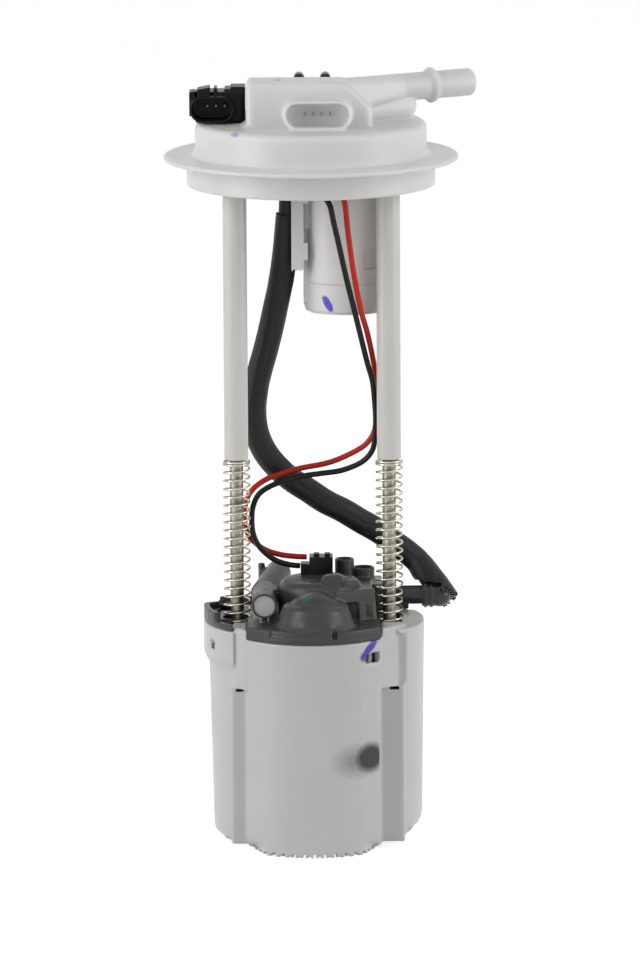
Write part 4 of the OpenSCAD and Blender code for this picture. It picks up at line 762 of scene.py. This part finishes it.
dressed_reservoir()
dressed_cover()
dressed_flange()
dressed_sensor()
dressed_valve()
PIN_PITCH = 3.8
SENSOR_PINS = (-47, -43.1, -39.2)
CONNECTOR_PINS = [SHROUD_X + PIN_PITCH * k for k in (-1.5, -0.5, 0.5, 1.5)]
blades("sensor_blades", SENSOR_PINS, y0=-8.2, y1=-2.5, z=DECK + 8.2, half=0.33, node="sensor_terminals")
blades("connector_blades", CONNECTOR_PINS, y0=-28.5, y1=-19, z=SHROUD_Z, half=0.55, node="flange_terminals")

# Springs
def coil(name, x, y, z0, z1, mean, wire, turns):
    """A spring with closed ends, in millimetres: mean is its middle radius, wire its thickness."""
    per_turn, closed, slack = 32, 1.5, 1.12
    tight = closed * wire * slack
    path = []
    for i in range(int(turns * per_turn) + 1):
        t = i / per_turn
        if t < closed:
            z = z0 + tight * t / closed
        elif t > turns - closed:
            z = z1 - tight * (turns - t) / closed
        else:
            z = z0 + tight + (z1 - z0 - 2 * tight) * (t - closed) / (turns - 2 * closed)
        a = 2 * math.pi * t
        path.append(Vector((x + mean * math.cos(a), y + mean * math.sin(a), z)) * MM)
    v, f = tube_mesh(path, wire / 2 * MM, 8)
    return mesh_object(name, v, f)


END_GAP = 0.5
for side, x in (("left", -ROD_X), ("right", ROD_X)):
    lo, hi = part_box(side + "_spring")
    foot, top = lo[2] / MM + END_GAP, hi[2] / MM - END_GAP
    ob = coil(side + "_coil", x, ROD_Y, foot, top, mean=5.9, wire=1.0, turns=22)
    dress(ob, SPRING)
    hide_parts(side + "_spring")
    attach(ob, "reservoir_body")
    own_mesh(ob)


def hang(ob, material, node):
    """Gives a cord its look, hides the part it stands for and bakes its placement into the mesh, leaving it
    on neither body.
    """
    dress(ob, material)
    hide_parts(node)
    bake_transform(ob)


def cord_piece(name, route, radius, sides, material, node):
    path = smooth_route(route, 2.0)
    v, f = tube_mesh(path, radius, sides)
    hang(mesh_object(name, v, f), material, node)


HOSE_R, WIRE_R = 4.6 * MM, 1.3 * MM
cord_piece("fuel_hose_line", HOSE, HOSE_R, 24, HOSE_BLACK, "fuel_hose")
cord_piece("black_lead", BLACK_ROUTE, WIRE_R, 14, WIRE_BLACK, "black_wire")
cord_piece("red_lead", RED_ROUTE, WIRE_R, 14, WIRE_RED, "red_wire")

# The sleeve runs on over the elbow, whose cuff it leaves free
CUFF_END, CUFF_TOP = 58.5, 118.4
SLEEVE = HOSE[1:-1] + [(54.4, 9.2, 117.6), (57.6, 5.8, 112.6), (59.4, 3.6, 109.4)]
SLEEVE_R, FLARE, FLARE_START = 5.6, 2.2, 0.9
BRAID_SEED = 7
SECTION = ((-1, 0), (-0.6, 0.45), (0.6, 0.45), (1, 0))


def sleeve_radius(share):
    """Radius at a share of the length: even, then flared over the last tenth."""
    return (SLEEVE_R + FLARE * max(0, share - FLARE_START) / 0.1) * MM


def braid(name, route, radius, carriers, pitch, strand, step, fray):
    """Crossing helical strands over a route, with a frayed end; radius takes the share along the route."""
    weave_height, flatness = 0.16 * MM, 0.35
    path = smooth_route(route, step)
    fr = frames(path)
    n = len(path)
    total = length_of(path)
    run = [0.0]
    for a, b in zip(path, path[1:]):
        run.append(run[-1] + (b - a).length)
    dice = random.Random(BRAID_SEED)
    verts, faces = [], []
    for way in (1, -1):
        for c in range(carriers):
            phase = 2 * math.pi * c / carriers
            base = len(verts)
            last = n - 1 - dice.randint(0, fray)
            keep = []
            for i in range(n):
                s = run[i]
                a = phase + way * 2 * math.pi * s / pitch
                lift = carriers * s / pitch * math.pi + (c % 2) * math.pi + (0 if way > 0 else math.pi)
                r = radius(s / total) + weave_height * math.sin(lift)
                t, u, v = fr[i]
                out = u * math.cos(a) + v * math.sin(a)
                side = (v * math.cos(a) - u * math.sin(a)) * way
                p = path[i] + out * r
                cross = out.cross(t + side * (2 * math.pi * r / pitch)).normalized()
                for dx, dz in SECTION:
                    verts.append(p + cross * (strand / 2 * dx) + out * (strand * flatness * dz))
                keep.append(i <= last and not (p.x < CUFF_END * MM and p.z < CUFF_TOP * MM))
            for i in range(n - 1):
                if keep[i] and keep[i + 1]:
                    for k in range(len(SECTION) - 1):
                        a0 = base + i * len(SECTION) + k
                        faces.append((a0, a0 + 1, a0 + 1 + len(SECTION), a0 + len(SECTION)))
    ob = mesh_object(name, verts, faces)
    bm = bmesh.new()
    bm.from_mesh(ob.data)
    bmesh.ops.delete(bm, geom=[v for v in bm.verts if not v.link_faces], context="VERTS")
    bm.to_mesh(ob.data)
    bm.free()
    return ob, path


ob, path = braid("braided_sleeve", SLEEVE, sleeve_radius, carriers=26, pitch=30 * MM, strand=0.85 * MM,
                 step=1.2, fray=3)
hang(ob, BRAID, "hose_sleeve")


# Floor, world and light
def either(nt, *rays):
    """One where any of the rays is meant."""
    value = rays[0]
    for ray in rays[1:]:
        value = math_node(nt, "MAXIMUM", value, ray)
    return value


def pale_floor():
    """A plain floor that glows to the camera, so that only the object's shadow shows on it."""
    far, glow_strength = 30, 0.78
    corners = [(-far, -far, 0), (far, -far, 0), (far, far, 0), (-far, far, 0)]
    floor = mesh_object("floor", corners, [(0, 1, 2, 3)], False)
    m, nt, b = new_material("floor")
    tone = ramp(nt, noise_node(nt, coords(nt), 3, 2), (0.66, 0.66, 0.66), (0.68, 0.68, 0.68))
    nt.links.new(tone, b.inputs["Base Color"])
    b.inputs["Roughness"].default_value = 0.9
    b.inputs["Specular IOR Level"].default_value = 0.1
    glow = nt.nodes.new("ShaderNodeEmission")
    glow.inputs[0].default_value = (1, 1, 1, 1)
    rays = nt.nodes.new("ShaderNodeLightPath").outputs
    seen = either(nt, rays["Is Camera Ray"], rays["Is Glossy Ray"])
    nt.links.new(map_range(nt, seen, 0, 1, 0, glow_strength), glow.inputs[1])
    both = nt.nodes.new("ShaderNodeAddShader")
    nt.links.new(b.outputs[0], both.inputs[0])
    nt.links.new(glow.outputs[0], both.inputs[1])
    out = [n for n in nt.nodes if n.type == "OUTPUT_MATERIAL"][0]
    nt.links.new(both.outputs[0], out.inputs[0])
    floor.data.materials.append(m)


def studio():
    """White to the camera and in reflections, and a dome that is dimmer above for diffuse light."""
    low_light, high_light = 0.60, 0.24
    world = bpy.data.worlds.new("world")
    scene.world = world
    world.use_nodes = True
    nt = world.node_tree
    nt.nodes.clear()
    out = nt.nodes.new("ShaderNodeOutputWorld")
    rays = nt.nodes.new("ShaderNodeLightPath").outputs
    seen = either(nt, rays["Is Camera Ray"], rays["Is Transmission Ray"], rays["Is Glossy Ray"])
    dim = nt.nodes.new("ShaderNodeBackground")
    way = nt.nodes.new("ShaderNodeSeparateXYZ")
    nt.links.new(nt.nodes.new("ShaderNodeTexCoord").outputs["Generated"], way.inputs[0])
    nt.links.new(map_range(nt, way.outputs[2], 0.0, 0.9, low_light, high_light), dim.inputs[1])
    white = nt.nodes.new("ShaderNodeBackground")
    white.inputs[0].default_value = (1, 1, 1, 1)
    white.inputs[1].default_value = 1
    mix = nt.nodes.new("ShaderNodeMixShader")
    nt.links.new(seen, mix.inputs[0])
    nt.links.new(dim.outputs[0], mix.inputs[1])
    nt.links.new(white.outputs[0], mix.inputs[2])
    nt.links.new(mix.outputs[0], out.inputs[0])


def area(name, loc, target, size, power):
    d = bpy.data.lights.new(name, "AREA")
    d.shape = "RECTANGLE"
    d.size, d.size_y = size
    d.energy = power
    o = bpy.data.objects.new(name, d)
    scene.collection.objects.link(o)
    aim = (Vector(target) - Vector(loc)).to_track_quat("-Z", "Y")
    o.matrix_world = Matrix.Translation(loc) @ aim.to_matrix().to_4x4()


pale_floor()
studio()
area("key_left", (-1.25, -0.65, 0.55), (0, 0, 0.2), size=(0.7, 1.6), power=14)
area("key_right", (1.3, -0.45, 0.5), (0, 0, 0.18), size=(0.7, 1.6), power=12)
area("top", (-0.2, -0.5, 1.6), (0, 0, 0.2), size=(0.9, 0.9), power=1.5)
